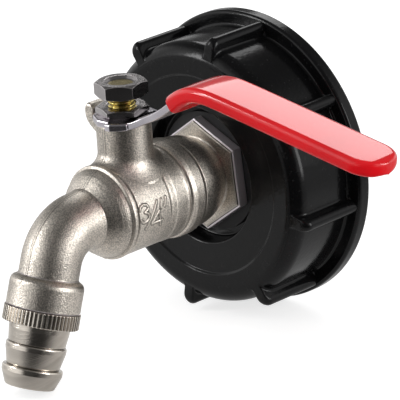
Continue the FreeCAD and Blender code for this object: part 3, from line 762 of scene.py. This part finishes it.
def neck_shell():
    """Closed surface of the stem's neck. The foot is a quarter circle that leaves the barrel's
    surface level and meets the neck's side upright: plan radius 7.7 + f(1 - sin t), height above
    the barrel f(1 - cos t). The packing's bore goes down inside, and the floor is in the wall."""
    neck, foot, top, bore, low_bore = 7.7, 3.1, 23.9, 5.9, 4.06
    ang = angles(120, dense=[(-98, -82, 0.8), (82, 98, 0.8)])
    t = np.radians(np.linspace(0, 90, 12))[:, None]
    plan = neck + foot * (1 - np.sin(t)) + 0 * ang
    sunk = 0.03 * (1 - t / t[-1])
    base_z = np.sqrt(BARREL_R ** 2 - (plan * np.cos(ang)) ** 2) + foot * (1 - np.cos(t)) - sunk
    up = np.array([0.02, 0.3, 0.6, 0.9, 0.985])[:, None]
    side_z = base_z[-1:] + (top - 0.5 - base_z[-1:]) * up
    lip = rounded([(top - 0.5, neck, 0), (top, neck, 0.35), (top, bore, 0.2), (top - 1.0, bore, 0)],
                  closed=False)
    inner = np.array([(20.3, bore), (16.2, bore), (16.2, low_bore), (13.9, low_bore), (12.7, low_bore)])
    rest = np.concatenate([lip, inner])
    floor_r = np.array([[low_bore], [neck], [neck + foot]])
    floor_z = np.sqrt(12.2 ** 2 - (floor_r * np.cos(ang)) ** 2)
    z = np.concatenate([base_z, side_z, rest[:, :1] + 0 * ang, floor_z])
    radius = np.concatenate([plan, neck + 0 * side_z, rest[:, 1:] + 0 * ang, floor_r + 0 * ang])
    rows = np.arange(len(z))[:, None]
    on_side = (rows > 3) & (rows < 17)
    seam, darkened = parting_line(ang, neck)
    return shell(round_stem(z, radius + seam * on_side, ang)), (darkened * on_side).ravel()


def slab(outline, centre, across, soft, upright):
    """A plate with all its edges rounded: the outline is drawn in by a quarter circle at both faces.
    across is the two faces' positions. Upright, the outline is a side view, or else a plan."""
    t = np.radians(np.linspace(0, 90, 6))
    lo, hi = across
    fall, rise = soft * (1 - np.sin(t)), soft * (1 - np.cos(t))
    draw = np.concatenate([fall, [0.0], fall[::-1]])[:, None, None]
    rel = outline - centre
    edge = rel * (1 - draw / np.hypot(*rel.T)[:, None])
    inner = edge[0] * np.linspace(0.15, 0.97, 4)[:, None, None]
    u, v = np.moveaxis(centre + np.concatenate([inner, edge, inner[::-1]]), -1, 0)
    w = np.concatenate([np.full(4, lo), lo + rise, [(lo + hi) / 2], hi - rise[::-1], np.full(4, hi)])
    w = w[:, None] + 0 * u
    y, z = (w, v) if upright else (v, w)
    return shell(np.stack([u, STEM_Y + y, z], -1), ends=True)


def lug_shell():
    """The stop lug: its side view carried across, with rounded edges."""
    side = rounded([(-4.0, 17.6, 0.5), (-6.7, 18.4, 1.5), (-8.6, 19.4, 2.0), (-11.0, 21.0, 2.0),
                    (-12.2, 22.4, 1.5), (-12.6, 24.0, 1.5), (-12.6, 26.0, 1.2), (-11.8, 27.5, 1.0),
                    (-10.0, 27.4, 0.8), (-9.2, 26.4, 0.5), (-9.2, 23.6, 0.3), (-4.0, 23.6, 0.3)], step=12)
    return slab(finer(side, 0.7), (-10.2, 22.6), (-2.7, 2.7), 0.85, True)


class VALVE_OT_tap(bpy.types.Operator):
    """Builds the cast tap: barrel, dome, bent spout, socket, neck and stop lug"""
    bl_idname = "valve.tap"
    bl_label = "Tap casting"

    def execute(self, context):
        barrel, smooth, darkened = barrel_shell(context.scene.valve_metal)
        neck, neck_darkened = neck_shell()
        piece("tap_casting", [barrel, neck, lug_shell()], "cast_nickel", "valve", ["tap_body"],
              masks={"machined": smooth, "grime_and_shade": np.concatenate([darkened, neck_darkened])})
        return {"FINISHED"}


# Hose tail

def tail_shells(settings):
    """The hose tail's body with its pipe thread and three barbs, and the knurled collar on it: the
    collar's radius is a square wave with sloping sides round the axis, which stops at both rims."""
    at = RUN_SHIFT
    s1, k, end = at + 21.55, at + 25.95, at + 43.25
    barb = 8.4
    corners = [(s1 - 6.6, 7.8, 0.1), (s1 - 6.0, 8.38, 0.1), (s1 + 0.15, 8.38, 0.1), (s1 + 0.15, 9.4, 0.1),
               (k - 0.1, 9.4, 0.1), (k - 0.1, barb, 0.1)]
    for start, after, low in ((0.0, 5.5, 7.95), (5.5, 11.75, 7.4)):
        # a full lip, a cone down to the next barb, and a turned crease under it
        corners += [(k + start + 1.5, barb, 0.5), (k + after - 0.32, low, 0.1),
                    (k + after - 0.12, low - 0.18, 0.08), (k + after, low - 0.12, 0.08),
                    (k + after + 0.08, barb - 0.15, 0.12), (k + after + 0.4, barb, 0.3)]
    corners += [(k + 13.4, barb, 0.5), (end - 0.25, 6.95, 0.15), (end, 6.75, 0.12), (end, 4.9, 0.15),
                (end - 0.3, 4.7, 0.1), (s1 - 6.6, 4.7, 0.2)]
    prof = rounded(corners, step=12)
    prof = finer(prof, 0.13, lo=s1 - 6.3, hi=s1)
    prof = finer(prof, 1.2, lo=k)
    ang = angles(144)
    p, r = prof[:, :1], prof[:, 1:]
    cut = screw(p, ang, 1.337, 0.75, s1 - 6.3, s1 - 0.2) * (r > 8.3) * (p < s1 + 0.05)
    body = shell(round_path(p, r + cut, ang))
    wave = np.tile([0.0, 0.0, 0.10, 0.85, 1.0, 1.0, 0.85, 0.10], settings.knurls)
    ang = np.linspace(0, TAU, len(wave), endpoint=False)
    ring = rounded([(s1 + 0.06, 9.0, 0.1), (s1 + 0.06, 10.35, 0.1), (s1 + 0.25, 10.6, 0.12),
                    (k - 0.25, 10.6, 0.12), (k - 0.04, 10.4, 0.1), (k - 0.04, 9.0, 0.1)], step=20)
    p, r = ring[:, :1], ring[:, 1:]
    cut = -0.5 * (1 - wave) * smooth_step(r, 9.9, 10.3)
    return [body, shell(round_path(p, r + cut, ang))]


class VALVE_OT_tail(bpy.types.Operator):
    """Builds the hose tail with its knurled collar"""
    bl_idname = "valve.tail"
    bl_label = "Hose tail"

    def execute(self, context):
        piece("ridged_tail", tail_shells(context.scene.valve_metal), "turned_nickel_tail", "tail",
              ["hose_tail"], sharp=30)
        return {"FINISHED"}


# Stem and lever

def stem_shell():
    """The stem: rows climb its profile from the tongue's collar to the top, with a fine screw thread
    above the neck and two flats through the lever plate."""
    prof = rounded([(11.4, 5.6, 0.15), (12.7, 5.6, 0.15), (12.7, 4.0, 0.1), (14.4, 4.0, 0.05),
                    (14.4, 3.1, 0.05), (15.4, 3.1, 0.05), (15.4, 4.0, 0.05), (23.9, 4.0, 0.1),
                    (23.9, 3.9, 0.0), (STEM_TOP - 0.5, 3.9, 0.15), (STEM_TOP, 3.4, 0.1),
                    (STEM_TOP, 0.5, 0.0)], closed=False)
    prof = finer(prof, 0.13, closed=False, lo=26.5)
    ang = angles(96)
    z, r = prof[:, :1], prof[:, 1:]
    radius = r + screw(z, ang, 1.25, 0.5, 26.6, STEM_TOP - 0.2) * (z > 26.4) * (r > 3.5)
    flat = 3.1 / np.maximum(np.abs(np.sin(ang)), 0.2)
    radius = np.where((z > 24.05) & (z < 26.3), np.minimum(radius, flat), radius)
    # the top face, sunk in the lock nut's hole, gets painted shade
    recess_shade = np.append(spread(z > STEM_TOP - 0.3, radius), [0, 1])
    return shell(round_stem(z, radius, ang), ends=True), recess_shade


def tongue_shell():
    """The tongue under the collar that turns the ball."""
    w, t = 4.0, 1.3
    outline = finer(rounded([(w, t, 0.3), (-w, t, 0.3), (-w, -t, 0.3), (w, -t, 0.3)]), 0.8)
    return slab(outline, (0, 0), (7.4, 11.6), 0.2, False)


def nut_shell(z0, z1, across=13.0, turn=40.7):
    """A hexagon nut: the radius is the smaller of the hexagon's and of a 30 degree cone at each end,
    and the threaded hole has a countersink at both faces."""
    ang, hexa = hexagon_columns(across, turn, soft=0.12, per_side=16)
    flat = across / 2
    edge = np.append(np.linspace(0, 0.75, 12), 0.9)
    z = np.concatenate([z0 + edge, [(z0 + z1) / 2], (z1 - edge)[::-1]])[:, None]
    cone = flat - 0.12 + 1.9 * np.minimum(z - z0, z1 - z)
    hole = 3.42
    dish = rounded([(z1, flat - 0.5, 0), (z1, 4.55, 0.15), (z1 - 0.75, hole + 0.35, 0.1),
                    (z1 - 1.0, hole, 0.1), (z0 + 1.0, hole, 0.1), (z0 + 0.6, hole + 0.4, 0.1),
                    (z0, 4.4, 0.15), (z0, flat - 0.5, 0)], closed=False)
    radius = np.concatenate([np.minimum(hexa, cone), dish[:, 1:] + 0 * ang])
    return shell(round_stem(np.concatenate([z, dish[:, :1]]), radius, ang))


# centre line of the lever's arm: x, and height above the middle of the plate
LEVER_X = np.array([7.8, 9.6, 12.0, 18.0, 23.5, 28.5, 33.0, 37.5, 42.0, 55.0, 75.0, 90.0, 97.4])
LEVER_H = np.array([0.0, 0.5, 1.7, 4.6, 8.1, 11.6, 13.5, 13.9, 13.4, 11.2, 7.7, 5.1, 3.85])


def lever_line(x):
    """Height and slope of the arm's centre line at x: cubic between the points, with the slope at
    each point that of the line between its neighbours, and level before the first."""
    x = np.maximum(x, LEVER_X[0])
    slope = np.concatenate([[0.0], (LEVER_H[2:] - LEVER_H[:-2]) / (LEVER_X[2:] - LEVER_X[:-2]),
                            [(LEVER_H[-1] - LEVER_H[-2]) / (LEVER_X[-1] - LEVER_X[-2])]])
    i = np.clip(np.searchsorted(LEVER_X, x) - 1, 0, len(LEVER_X) - 2)
    h = LEVER_X[i + 1] - LEVER_X[i]
    t = (x - LEVER_X[i]) / h
    z = (LEVER_H[i] * (1 + 2 * t) * (1 - t) ** 2 + slope[i] * h * t * (1 - t) ** 2
         + LEVER_H[i + 1] * t * t * (3 - 2 * t) + slope[i + 1] * h * t * t * (t - 1))
    return z, slope[i] * (1 - t) + slope[i + 1] * t


def along_arm(x, half_width, half_thick, corner, crown=0.0):
    """Rows of rounded rectangles set square to the arm's centre line. crown lifts the middle of
    both flat sides."""
    per = 8
    quarter = np.radians(np.concatenate([np.linspace(q, q + 90, per) for q in (0, 90, 180, 270)]))
    x, half_width, half_thick, corner = (np.broadcast_to(v, x.shape)[:, None]
                                         for v in (x, half_width, half_thick, corner))
    corner = np.minimum(corner, np.minimum(half_width, half_thick) * 0.98)
    u = np.repeat([1, -1, -1, 1], per) * (half_width - corner) + corner * np.cos(quarter)
    w = np.repeat([1, 1, -1, -1], per) * (half_thick - corner) + corner * np.sin(quarter)
    # more columns across the flats, so that the crown is round
    flats = {per - 1: [0.0, 0.02, 0.1, 0.22, 0.36, 0.5, 0.64, 0.78, 0.9, 0.98]}
    flats[3 * per - 1] = flats[per - 1]
    j, f = np.array([(k, f) for k in range(4 * per) for f in flats.get(k, [0.0])]).T
    j = j.astype(int)
    u, w = (v[:, j] + (np.roll(v, -1, 1)[:, j] - v[:, j]) * f for v in (u, w))
    share = np.clip(np.abs(u) / np.maximum(half_width - corner, 0.01), 0, 1)
    w = w + np.sign(w) * crown * (1 - share ** 2)
    z, slope = lever_line(x)
    length = np.hypot(1, slope)
    return np.stack([x - slope / length * w, STEM_Y + u, PLATE_Z + PLATE_T / 2 + z + w / length], -1)


def sleeve_half(x):
    """Half the sleeve's width: 6.3 up to x = 15.2 and 7.7 from x = 35.2 on, with an s-curve between."""
    return 6.3 + 1.4 * smooth_step(x, 15.2, 35.2)


def sleeve_shell(settings):
    """The vinyl sleeve: rounded rectangles along the arm that close over a half round tip, and a
    lip that turns back into the mouth round the steel. Also gives the mask of its glossy top."""
    nose, tip, mouth = 7.7, 97.4, 24.6
    last = tip - nose
    t = np.radians(np.linspace(0, 88.5, 16))[1:]
    body = np.append(mouth + np.array([0, 0.06, 0.2, 0.5, 1.0]), np.linspace(mouth + 2.2, last, 48))
    less = np.append([0.55, 0.34, 0.14, 0.02], np.zeros(len(body) + len(t) - 4))
    x = np.append(body, last + nose * np.sin(t))
    half = np.append(sleeve_half(body), nose * np.cos(t) ** 0.92) - less
    thin = 2.2 + 0.35 * (1 - smooth_step(x, mouth, mouth + 9)) - 0.5 * smooth_step(x, tip - 2.2, tip) - less
    outer = along_arm(x, np.maximum(half, 0.35), thin, np.minimum(1.75, thin - 0.05), settings.crown)
    # the pocket: from its floor round the steel out to the mouth
    x = np.array([38.0, 32.0, 27.0, mouth + 0.5, mouth + 0.12, mouth + 0.02])
    gap = np.array([0.0, 0.0, 0.0, 0.0, 0.08, 0.2])
    grid = np.concatenate([along_arm(x, sleeve_half(x) - 1.28 + gap, 1.03 + gap, 0.3 + gap), outer])
    above = grid[..., 2] - PLATE_Z - PLATE_T / 2 - lever_line(grid[..., 0])[0]
    return shell(grid, ends=True), smooth_step(above, 0.8, 1.7).ravel()


def arm_shell():
    """The steel strip of the lever, from inside the hub up the bend and into the sleeve."""
    root, end, half = 7.8, 93.0, 6.2
    t = np.radians(np.linspace(10, 86, 7))
    x = np.concatenate([np.linspace(6.2, 14.5, 16), np.linspace(16, end - half, 40),
                        end - half + half * np.sin(t)])
    wide = np.minimum(sleeve_half(x) - 1.3, half)
    wide = wide + 1.45 * (1 - smooth_step(x, root - 1.5, root + 5.0))
    wide[-7:] = half * np.cos(t)
    return shell(along_arm(x, wide, 1.0, 0.32), ends=True)


def hub_shell():
    """The lever's hub: rows go out over the top from the hole to the outline, round its worn edge,
    and back underneath."""
    stop, r = 3.0, 8.6
    corners = [(8.2, -0.78 * r, 0.8), (8.2, 0.8 * r, 0.8), (0.11 * r, r, 1.2), (-0.45 * r, r, 1.2),
               (-r, 0.7 * r, 0.8), (-r, stop, 0.3), (-0.93 * r, 0.0, 2.0), (-0.91 * r, -stop, 1.5),
               (-0.67 * r, -0.7 * r, 1.2), (-0.16 * r, -r, 0.5), (stop - 0.1, -0.97 * r, 0.4),
               (stop, -10.3, 0.5), (stop + 1.8, -10.1, 0.5), (stop + 4.2, -0.96 * r, 0.9)]
    outline = finer(rounded(corners), 0.6)
    # the outline drawn in square to itself, by the angle of its neighbours
    nxt, prv = np.roll(outline, -1, 0), np.roll(outline, 1, 0)
    way = np.sign(np.sum(outline[:, 0] * nxt[:, 1] - outline[:, 1] * nxt[:, 0]))
    out = (nxt - prv)[:, ::-1] * (way, -way)
    out /= np.maximum(np.hypot(*out.T), 1e-9)[:, None]
    # the hole's points share the outline's order, spread by its length
    step = np.hypot(*(nxt - outline).T)
    share = (np.cumsum(step) - step) / step.sum()
    hole = polar(4.03, math.atan2(outline[0, 1], outline[0, 0]) + way * TAU * share)
    # each row: its share of the way from the hole to the outline, how far the outline is drawn in, z
    t = np.radians(np.linspace(0, 90, 7))
    top = PLATE_Z + PLATE_T
    rows = [(f, 0.75, top) for f in (0.0, 0.15, 0.5, 0.8)]
    rows += [(1, 0.62 * (1 - math.sin(a)), top - 0.55 * (1 - math.cos(a))) for a in t]
    rows += [(1, 0.25 * (1 - math.sin(a)), PLATE_Z + 0.22 * (1 - math.cos(a))) for a in t[::-2]]
    rows += [(f, 0.3, PLATE_Z) for f in (0.8, 0.4, 0.0)]
    f, drawn, z = np.array(rows).T[..., None, None]
    u, v = np.moveaxis(hole + (outline - out * drawn - hole) * f, -1, 0)
    return shell(np.stack([u, STEM_Y + v, z[..., 0] + 0 * u], -1))


def ear_shells():
    """The stop ear that is bent up beside the lug, and its foot on the hub."""
    up = rounded([(-12.2, PLATE_Z, 0.4), (-8.4, PLATE_Z, 0.4), (-8.4, 26.4, 0.8), (-9.3, 27.7, 0.9),
                  (-10.6, 28.0, 0.6), (-12.2, 27.9, 0.7)])
    flat = rounded([(-12.2, 3.0, 0.4), (-7.0, 3.0, 0.4), (-6.6, 7.0, 0.6), (-8.6, 7.0, 0.8),
                    (-12.0, 5.4, 0.6)])
    return [slab(finer(up, 0.6), (-10.3, 26.0), (3.0, 5.0), 0.35, True),
            slab(finer(flat, 0.6), (-9.2, 4.8), (PLATE_Z + 0.01, PLATE_Z + PLATE_T - 0.05), 0.3, False)]


class VALVE_OT_stem(bpy.types.Operator):
    """Builds the stem with its thread and the two nuts on it"""
    bl_idname = "valve.stem"
    bl_label = "Stem and nuts"

    def execute(self, context):
        stem, recess_shade = stem_shell()
        piece("stem_spindle", [stem, tongue_shell()], "raw_brass", "handle", ["stem"],
              masks={"grime_and_shade": recess_shade})
        piece("jam_hexagon", [nut_shell(*JAM_Z)], "nut_steel", "handle", ["jam_nut"], sharp=24)
        piece("lock_hexagon", [nut_shell(*LOCK_Z)], "nut_steel", "handle", ["lock_nut"],
              sharp=24)
        return {"FINISHED"}


class VALVE_OT_lever(bpy.types.Operator):
    """Builds the pressed steel lever and its vinyl sleeve"""
    bl_idname = "valve.lever"
    bl_label = "Lever"

    def execute(self, context):
        piece("lever_pressing", [hub_shell(), arm_shell()] + ear_shells(), "lever_steel", "handle",
              ["lever_plate"])
        made, glazed = sleeve_shell(context.scene.valve_lever)
        piece("grip_sleeve", [made], "sleeve_vinyl", "handle", ["lever_sleeve"],
              masks={"glazed": glazed})
        return {"FINISHED"}


class VALVE_OT_inside(bpy.types.Operator):
    """Gives the CAD pieces that stay their finishes"""
    bl_idname = "valve.inside"
    bl_label = "Seals, seats and ball"

    def execute(self, context):
        finish = {"tank_gasket": "seal_rubber", "inlet_washer": "seal_rubber", "stem_ring": "seal_rubber",
                  "tail_washer": "seal_rubber", "seat_inlet": "seat_plastic", "seat_outlet": "seat_plastic",
                  "thrust_washer": "seat_plastic", "packing_low": "seat_plastic",
                  "packing_high": "seat_plastic", "gland_nut": "raw_brass", "ball": "ball_chrome"}
        for name, slot in finish.items():
            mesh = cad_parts[name].data
            mesh.materials.clear()
            mesh.materials.append(bpy.data.materials[slot + "_finish"])
        return {"FINISHED"}


# Studio

# the photograph's camera, in degrees and millimetres
AZIMUTH, ELEVATION, ROLL = 45.5, 19.4, -3.7
NARROW = 0.115              # picture width over focal length
PIXELS_PER_MM = 3.49
ORIGIN_PX = (258.8, 151.1)
PICTURE = 400


def lamp(name, place, aim, power, size, size_y=None):
    """An area lamp in metres that looks at aim."""
    data = bpy.data.lights.new(name, "AREA")
    data.energy, data.size = power, size
    if size_y:
        data.shape, data.size_y = "RECTANGLE", size_y
    obj = bpy.data.objects.new(name, data)
    obj.location = place
    obj.rotation_mode = "QUATERNION"
    obj.rotation_quaternion = (Vector(aim) - Vector(place)).to_track_quat("-Z", "Y")
    bpy.context.scene.collection.objects.link(obj)


def studio_world(settings):
    """White for the camera. Reflections see white round most of the horizon, and dark in the
    ceiling, high behind the object and behind the camera; matt surfaces get an even fill."""
    world = bpy.data.worlds.new("studio")
    bpy.context.scene.world = world
    world.use_nodes = True
    web = Web(world.node_tree)
    way, ray = web.add("TexCoord")["Generated"], web.add("LightPath")
    seen = 1.0
    # middle, half width and softness of each dark part in degrees, and its level
    for middle, wide, soft, level in (((0, 0, 1), 54, 14, 0.14), ((-0.50, 0.52, 0.62), 38, 10, 0.14),
                                      ((0.66, -0.68, 0.24), 34, 10, 0.05)):
        dot = web.add("VectorMath", way, Vector(middle).normalized(), operation="DOT_PRODUCT")["Value"]
        lo, hi = (math.cos(math.radians(a)) for a in (wide + soft, wide - soft))
        seen = web.mix(web.rise(dot, lo, hi), seen, level)
    level = web.mix(web.mirrored(ray), settings.fill, seen)
    sky = world.node_tree.nodes["Background"].inputs
    web.put(sky["Strength"], web.mix(ray["Is Camera Ray"], level, 1.0))
    web.put(sky["Color"], (1, 1, 1, 1))


def floor_paint():
    """Pale to lamps and white to the camera but for the object's shadow. Mirrored in the object it
    has a painted glow close by, and a painted dark patch in front."""
    web = new_web("floor_paint")
    vec = web.object_vector()
    pale = web.tint(web.effect("handling", vec, 2.0)[0], (0.55, 0.55, 0.55), (0.57, 0.57, 0.57), 0.3, 0.7)
    ray = web.add("LightPath")
    mirrored = web.mirrored(ray)
    # painted reflection: mirrored rays see the floor in front near black
    front = web.add("VectorMath", vec, (0.66, -0.75, 0.0), operation="DOT_PRODUCT")["Value"]
    away = web.add("VectorMath", vec, operation="LENGTH")["Value"]
    facing = web.rise(web.maths("DIVIDE", front, away), 0.60, 0.86)
    dark = web.times(web.times(facing, web.rise(away, 0.07, 0.14)), mirrored)
    # painted glow: mirrored rays see the floor close by lit
    glow = web.times(web.maths("SUBTRACT", mirrored, dark), web.rise(away, 0.20, 0.10, 0.05, 0.38))
    seen = web.maths("MAXIMUM", ray["Is Camera Ray"], glow)
    web.shade({"Base Color": web.mix(dark, pale, (0.03, 0.03, 0.03)), "Roughness": 0.9,
               "Specular IOR Level": 0.0, "Emission Color": (1, 1, 1, 1),
               "Emission Strength": web.times(seen, 0.72)})


def floor():
    """A disc 4 mm thick just under the object: rings of points about the stem's axis."""
    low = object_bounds()[0].z / MM - 0.05
    reach, ang = np.array([1.0, 300.0, 900.0, 2500.0])[:, None], angles(48)
    faces = round_stem(low, reach, ang), round_stem(low - 4.0, reach[::-1], ang)
    v, quads, tris = shell(np.concatenate(faces), ends=True)
    mesh = bpy.data.meshes.new("floor")
    mesh.from_pydata((v * MM).tolist(), [], quads.tolist() + tris.tolist())
    mesh.materials.append(bpy.data.materials["floor_paint_finish"])
    obj = bpy.data.objects.new("floor", mesh)
    bpy.context.scene.collection.objects.link(obj)
    obj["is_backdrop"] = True


def photograph_camera():
    """The camera that took the photograph, from its angles, scale and the origin's pixel."""
    a, e, roll = (math.radians(v) for v in (AZIMUTH, ELEVATION, ROLL))
    level = Vector((math.cos(a), math.sin(a), 0))
    ahead = Vector((-math.sin(a) * math.cos(e), math.cos(a) * math.cos(e), -math.sin(e)))
    over = level.cross(ahead)
    c, s = math.cos(roll), math.sin(roll)
    right, up = c * level + s * over, -s * level + c * over
    far = PICTURE / NARROW / PIXELS_PER_MM
    spot = (-far * ahead - (ORIGIN_PX[0] - PICTURE / 2) / PIXELS_PER_MM * right
            + (ORIGIN_PX[1] - PICTURE / 2) / PIXELS_PER_MM * up) * MM
    data = bpy.data.cameras.new("camera")
    data.sensor_width, data.lens = 36.0, 36.0 / NARROW
    data.clip_start, data.clip_end = 0.05, 20.0
    camera = bpy.data.objects.new("camera", data)
    camera.matrix_world = Matrix.Translation(spot) @ Matrix((right, up, -ahead)).transposed().to_4x4()
    bpy.context.scene.collection.objects.link(camera)
    bpy.context.scene.camera = camera


class VALVE_OT_studio(bpy.types.Operator):
    """Builds the floor, the lamps, the world and the photograph's camera"""
    bl_idname = "valve.studio"
    bl_label = "Studio"

    def execute(self, context):
        context.scene.view_settings.view_transform = "Standard"
        settings = context.scene.valve_studio
        studio_world(settings)
        floor_paint()
        floor()
        middle, key = (0.0, -0.045, 0.0), settings.key
        lamp("key_front_left", (-0.42, -0.65, 0.50), middle, key * 0.2, 0.9)
        lamp("strip_front_left", (-0.566, -0.674, 0.431), middle, key * 0.72, 0.13, 0.6)
        lamp("strip_right", (0.86, 0.27, 0.24), middle, key * 0.80, 0.3, 0.6)
        # behind the object, where the sleeve's flat top mirrors it
        lamp("back_left", (-0.36, 0.42, 0.44), (0.045, -0.052, 0.035), key * 0.185, 0.30)
        photograph_camera()
        return {"FINISHED"}


class VALVE_PT_panel(bpy.types.Panel):
    """Lists the pieces and the values behind them"""
    bl_idname = "VALVE_PT_panel"
    bl_label = "Tank valve"
    bl_space_type = "VIEW_3D"
    bl_region_type = "UI"
    bl_category = "Tank valve"

    def draw(self, context):
        scene = context.scene
        for settings, operators in (
                (scene.valve_cap, ("valve.cap",)),
                (scene.valve_metal, ("valve.inlet", "valve.tap", "valve.tail", "valve.stem")),
                (scene.valve_lever, ("valve.lever",)),
                (scene.valve_studio, ("valve.inside", "valve.studio"))):
            box = self.layout.box()
            for name in settings.__annotations__:
                box.prop(settings, name)
            for name in operators:
                box.operator(name)


CLASSES = (CapSettings, MetalSettings, LeverSettings, StudioSettings, VALVE_OT_cap, VALVE_OT_inlet,
           VALVE_OT_tap, VALVE_OT_tail, VALVE_OT_stem, VALVE_OT_lever, VALVE_OT_inside, VALVE_OT_studio,
           VALVE_PT_panel)


def register():
    for cls in CLASSES:
        bpy.utils.register_class(cls)
    bpy.types.Scene.valve_cap = PointerProperty(type=CapSettings)
    bpy.types.Scene.valve_metal = PointerProperty(type=MetalSettings)
    bpy.types.Scene.valve_lever = PointerProperty(type=LeverSettings)
    bpy.types.Scene.valve_studio = PointerProperty(type=StudioSettings)


def unregister():
    for name in ("valve_cap", "valve_metal", "valve_lever", "valve_studio"):
        delattr(bpy.types.Scene, name)
    for cls in reversed(CLASSES):
        bpy.utils.unregister_class(cls)


def main():
    register()
    make_finishes(bpy.context.scene)
    bpy.ops.valve.cap()
    bpy.ops.valve.inlet()
    bpy.ops.valve.tap()
    bpy.ops.valve.tail()
    bpy.ops.valve.stem()
    bpy.ops.valve.lever()
    bpy.ops.valve.inside()
    bpy.ops.valve.studio()


if __name__ == "__main__":
    main()
